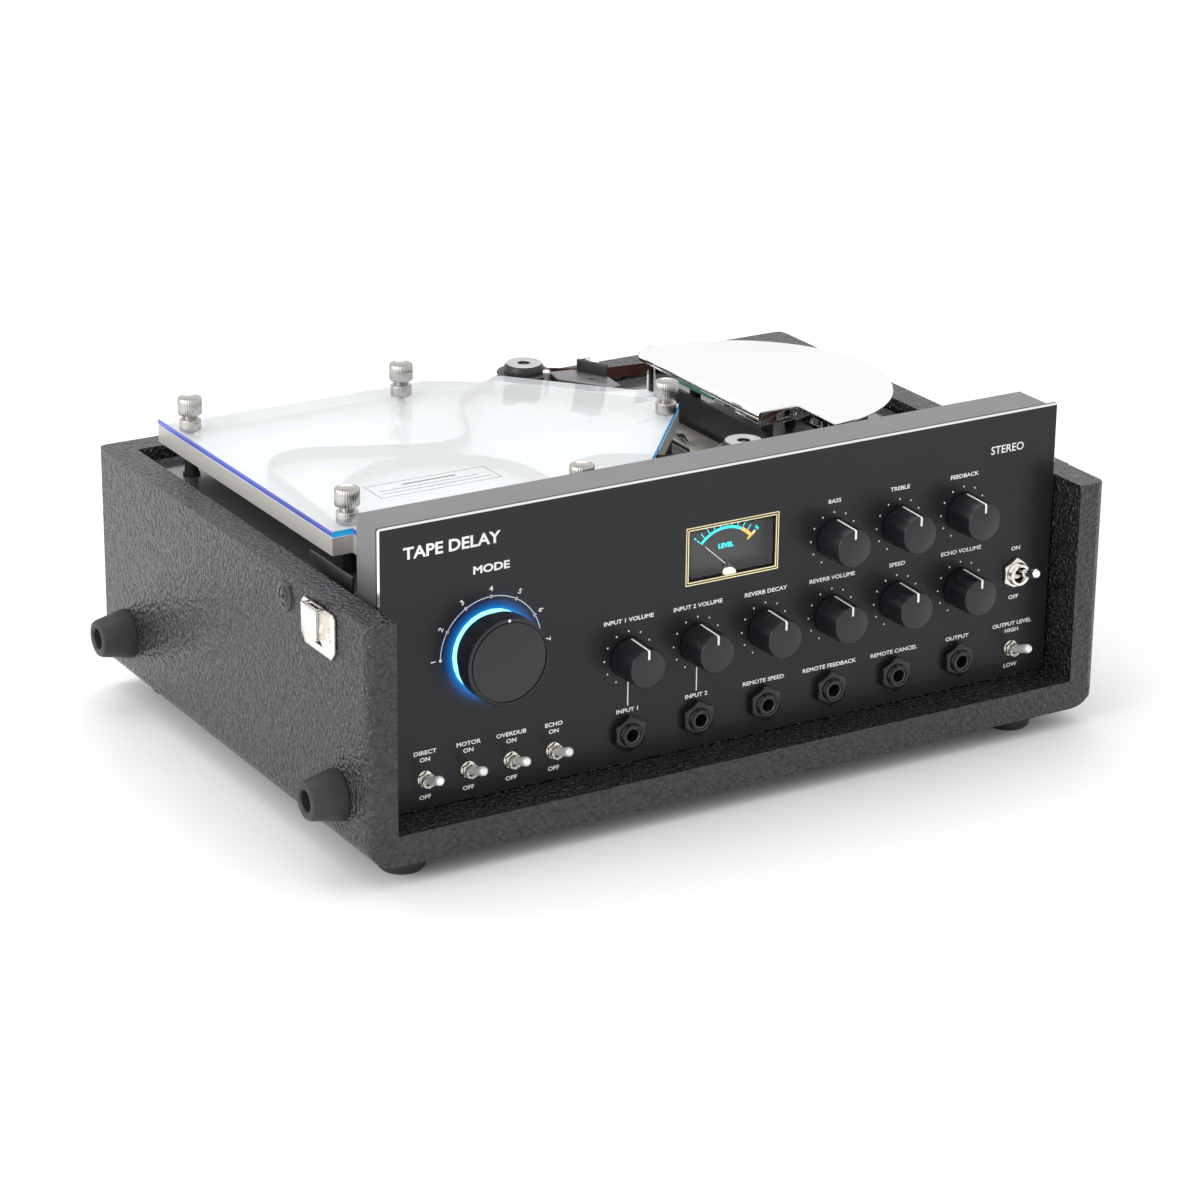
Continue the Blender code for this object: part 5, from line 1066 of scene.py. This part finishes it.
def paint_edge_glow(bm):
    """Give the sheet's left, front and right edges their painted glow; leave the back and the holes
    clear.
    """
    holes = [middle_of(node).xy for node in SCREW_NODES]
    for face in (face for face in bm.faces if face.material_index == 1):
        middle = face.calc_center_median().xy
        normal = face.normal
        if min((middle - hole).length for hole in holes) < 0.004 or normal.y > 0.5:
            face.material_index = 0
        elif normal.x < -0.5:
            face.material_index = 1
        elif normal.x > 0.5:
            face.material_index = 3
        else:
            face.material_index = 2


LID_LABEL = ((-0.140, -0.036), (-0.075, -0.018))      # its corners: a blank notice


def make_lid():
    """The clear lid with its screw holes, and the outline of a notice on it."""
    low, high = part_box("tank_lid")
    holes = [circle(*middle_of(node).xy, 0.0022, 20)[::-1] for node in SCREW_NODES]
    bm = bmesh.new()
    add_sheet(bm, [outline_of("tank_lid")] + holes, low.z, high.z, slot=0, edge=0.0003,
              side_slot=1)
    paint_edge_glow(bm)
    edges = [ACRYLIC, EDGE_GLOW_LEFT, EDGE_GLOW_FRONT, EDGE_GLOW_RIGHT]
    stand_in("tank_lid", "lid_acrylic", bm, edges)
    bm = bmesh.new()
    (x0, y0), (x1, y1), width = *LID_LABEL, 0.0004
    z = high.z + PRINT_LIFT
    for a, b, c, d in ((x0, y0, x1, y0 + width), (x0, y1 - width, x1, y1), (x0, y0, x0 + width, y1),
                       (x1 - width, y0, x1, y1), (x0 + 0.003, y0 + 0.0045, x1 - 0.003, y0 + 0.005),
                       (x0 + 0.003, y0 + 0.0085, x1 - 0.008, y0 + 0.009),
                       (x0 + 0.018, y0 + 0.0125, x1 - 0.018, y0 + 0.0138)):
        bm.faces.new([bm.verts.new((x, y, z)) for x, y in ((a, b), (c, b), (c, d), (a, d))])
    shaped("lid_label", bm, [FRAME])


SCREW_TEETH, SCREW_TOOTH, SCREW_SHARE = 32, 0.00025, 0.9


def knurl(angle, radius, height):
    """Straight knurling on the head of a thumbscrew and flutes round its foot."""
    if radius < 0.0052:
        return radius, height
    return radius - SCREW_TOOTH * (0.5 + 0.5 * math.cos(angle * SCREW_TEETH)), height


def make_thumbscrews():
    """Knurled screws that turn on their own bodies."""
    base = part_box("tank_lid")[1].z + 0.0003
    for node in SCREW_NODES:
        spot, top = middle_of(node), (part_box(node)[1].z - base) * SCREW_SHARE
        profile = [(0.0, top - 0.0003), (0.0046, top - 0.0003), (0.0049, top), (0.0056, top),
                   (0.006, top - 0.0005), (0.006, 0.0088), (0.0057, 0.0083), (0.0045, 0.0076),
                   (0.0037, 0.0068), (0.0036, 0.0062), (0.0050, 0.0056), (0.0053, 0.0052),
                   (0.0053, 0.0004), (0.0050, 0.0), (0.0017, 0.0), (0.0017, -0.013), (0.0, -0.013)]
        bm = bmesh.new()
        lathe(bm, profile, standing(spot.x, spot.y, base), 128, shape=knurl)
        stand_in(node, node + "_knurled", bm, [SCREW_STEEL], 50.0)


def make_rollers():
    """Capped guide rollers with dark flanges, and the pinch roller's tyre."""
    tape_low, tape_high = (corner.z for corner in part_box("tape_loop"))
    for node in ("guide_roller_rear", "guide_roller_front"):
        low, high, spot = measured(node)
        flange, top = high.x - spot.x, high.z
        rim, under = flange * 0.70, tape_high + 0.0003
        bm = bmesh.new()
        place = standing(spot.x, spot.y)
        lathe(bm, [(rim, tape_low), (rim, under), (flange - 0.0004, under),
                   (flange, under + 0.0003), (flange, under + 0.0008),
                   (flange - 0.0005, under + 0.0011),
                   (rim + 0.0004, under + 0.0012)], place, 72, 0)
        lathe(bm, [(rim + 0.0006, under + 0.0011), (rim + 0.0006, top - 0.0022),
                   (rim - 0.0007, top - 0.0002)], place, 72, 0)
        lathe(bm, [(rim - 0.0007, top - 0.0002), (rim - 0.0011, top), (0.0036, top),
                   (0.0033, top - 0.0003)], place, 72, 1)
        lathe(bm, [(0.0033, top - 0.0003), (0.0032, top - 0.0016), (0.0016, top - 0.0016),
                   (0.0014, top - 0.0008), (0.0, top - 0.0008)], place, 48, 0)
        lathe(bm, [(rim, tape_low), (flange - 0.0004, tape_low - 0.0003),
                   (flange, tape_low - 0.0007), (flange - 0.0004, tape_low - 0.0013),
                   (rim, tape_low - 0.0016), (rim, low.z), (0.0028, low.z)], place, 72, 2)
        stand_in(node, node + "_turned", bm, [BLACK, CAP, STEEL])
    low, high, spot = measured("pinch_roller")
    radius = high.x - spot.x
    bm = bmesh.new()
    lathe(bm, [(0.0026, low.z), (radius - 0.0006, low.z), (radius, low.z + 0.0006),
               (radius, high.z - 0.0006), (radius - 0.0006, high.z), (0.0045, high.z),
               (0.0026, high.z - 0.0003), (0.0026, low.z)],
          standing(spot.x, spot.y), 64)
    stand_in("pinch_roller", "pinch_tyre", bm, [RUBBER])


LIP_RADIUS, NEAR = 0.0026, 0.0005


def make_cover():
    """The polished cover with its rolled edge and its slotted, folded notch."""
    low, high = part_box("head_cover")
    outline = outline_of("head_cover")
    bm = bmesh.new()
    add_sheet(bm, [outline], high.z - 0.0012, high.z, edge=0.0003)
    left = low.x
    side = [y for x, y in outline if abs(x - left) < NEAR]
    back, length, reach = min(side), max(side) - min(side) - 0.004, LIP_RADIUS
    lip = standing(left + 0.0008, back + 0.0003, high.z - 0.0022) @ turned(-90, "X")
    lathe(bm, [(0.0, 0.0), (reach - 0.0002, 0.0), (reach, 0.0003), (reach, length), (0.0, length)],
          lip, 32)
    top = high.z - 0.0048
    for slot, x0, x1, y0, y1, depth, edge in (
            (1, 0.0030, 0.0042, 0.050, 0.088, 0.0035, 0.0002),
            (0, 0.0012, 0.0024, 0.004, 0.026, 0.0028, 0.0003),
            (0, 0.0012, 0.0030, 0.033, 0.046, 0.0022, 0.0003)):
        block(bm, (left + x0, back + y0, top - depth), (left + x1, back + y1, top), slot=slot,
              edge=edge)
    notch = max(x for x, y in outline if abs(y - back) < NEAR)
    end = min(y for x, y in outline if abs(x - notch) < NEAR)
    depth, run = high.z - low.z, back - end
    middle = (left + notch) / 2 + 0.003
    sideways = Matrix(((0, 0, -1, 0), (1, 0, 0, 0), (0, 1, 0, 0), (0, 0, 0, 1)))
    for start, stop, opening, place in (
            (left + 0.0003, notch, (middle, depth * 0.55, 0.0045, 0.0016, 10.0),
             standing(0.0, back + 0.0012, low.z) @ UPRIGHT),
            (0.0, run, (run * 0.45, depth * 0.55, 0.005, 0.0016),
             standing(notch + 0.0011, end + 0.0004, low.z) @ sideways)):
        flap = [(start, 0.0), (stop, 0.0), (stop, depth), (start, depth)]
        add_sheet(bm, [flap, slot_shape(*opening)[::-1]], 0.0, 0.0011, place, 0, 0.0002)
    stand_in("head_cover", "cover_polished", bm, [POLISH, CIRCUIT])


TRAY_HOLES = ((-0.043, 0.054), (-0.065, 0.052), (-0.065, 0.022), (0.020, 0.042), (0.027, 0.052))


def make_fittings():
    """Small plates, pins and holes on the deck, round the tank and in its floor."""
    deck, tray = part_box("tape_guide")[0].z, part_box("tape_loop")[0].z - 0.0003
    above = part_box("tape_loop")[1].z + 0.0012
    bm = bmesh.new()
    arm = [(0.031, 0.101), (0.044, 0.099), (0.054, 0.083), (0.052, 0.064), (0.047, 0.063),
           (0.029, 0.089)]
    hole = circle(0.045, 0.081, 0.0016, 16)
    add_sheet(bm, [arm[::-1], hole], above, above + 0.001, edge=0.0002)
    lathe(bm, [(0.0022, deck), (0.0022, above + 0.0002), (0.0, above + 0.0002)],
          standing(0.038, 0.094), 24)
    shaped("tension_plate", bm, [FRAME])
    bm = bmesh.new()
    along = math.atan2(-0.016, 0.008)
    place = standing(0.045, 0.096, above + 0.001) @ Matrix.Rotation(along, 4, "Z")
    block(bm, (0.0, -0.0008, 0.0), (0.0185, 0.0008, 0.0064), place, edge=0.0003)
    block(bm, (0.006, -0.0008, 0.0), (0.014, 0.0060, 0.0012), place, edge=0.0003)
    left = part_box("tank_lid")[0].x - 0.0045
    for width, end, height in ((0.0014, -0.050, 0.0100), (0.0075, -0.080, 0.0014)):
        block(bm, (left, -0.093, deck), (left + width, end, deck + height), edge=0.0003)
    shaped("black_brackets", bm, [BLACK])
    bm = bmesh.new()
    lathe(bm, [(0.0021, deck), (0.0021, above + 0.0030), (0.0016, above + 0.0037),
               (0.0, above + 0.0037)], standing(0.0265, 0.0965), 24)
    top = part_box("head_cover")[1].z - 0.0016
    ear = [(0.083, 0.095), (0.100, 0.090), (0.0935, 0.1035)]
    add_sheet(bm, [ear, circle(0.0885, 0.0960, 0.0012, 12)[::-1]], top - 0.001, top, edge=0.0002)
    shaped("bright_pins", bm, [CHROME])
    bm = bmesh.new()
    plate = [(0.038, -0.030), (0.060, -0.030), (0.078, 0.010), (0.078, 0.050), (0.066, 0.050),
             (0.061, 0.040), (0.0605, 0.010)]
    add_sheet(bm, [plate, slot_shape(0.0665, 0.026, 0.008, 0.0020, 72.0)[::-1]], deck + 0.0002,
              deck + 0.0014, edge=0.0002)
    shaped("guide_plate", bm, [GUIDE])
    bm = bmesh.new()
    for x, y in TRAY_HOLES:
        lathe(bm, [(0.0, tray + 0.00006), (0.0020, tray + 0.00006)], standing(x, y), 20)
    shaped("tray_holes", bm, [DECK])


def make_inlet():
    """The mains inlet with its three pins and two flange screws."""
    dress("power_inlet", BLACK, 0.0006)
    _, high, spot = measured("power_inlet")
    x, z, face = spot.x, spot.z, high.y
    bm = bmesh.new()
    for offset, rise in ((-0.007, -0.002), (0.0, 0.002), (0.007, -0.002)):
        block(bm, (x + offset - 0.002, face - 0.0185, z + rise - 0.001),
              (x + offset + 0.002, face - 0.003, z + rise + 0.001), edge=0.0004)
    for side in (-1, 1):
        place = standing(x + side * 0.0195, face, z) @ turned(-90, "X")
        lathe(bm, [(0.0, -0.0002), (0.0007, -0.0002), (0.0009, 0.0), (0.0019, -0.0002),
                   (0.0028, -0.001)], place, 24)
    shaped("inlet_pins", bm, [NICKEL])


def make_floor():
    bm = bmesh.new()
    bmesh.ops.create_grid(bm, x_segments=1, y_segments=1, size=9.0)
    mesh = bpy.data.meshes.new("floor")
    bm.to_mesh(mesh)
    bm.free()
    mesh.materials.append(floor_finish())
    floor = bpy.data.objects.new("floor", mesh)
    bpy.context.scene.collection.objects.link(floor)


for make in (make_camera, make_light, make_floor, make_case, make_feet, make_side_feet,
             make_latches, make_handle, make_side_screw, make_printing, make_knobs,
             make_mode_knob, make_jacks, make_toggles, make_power, make_meter, make_deck,
             make_posts, make_lid, make_thumbscrews, make_rollers, make_cover, make_fittings,
             make_inlet):
    make()
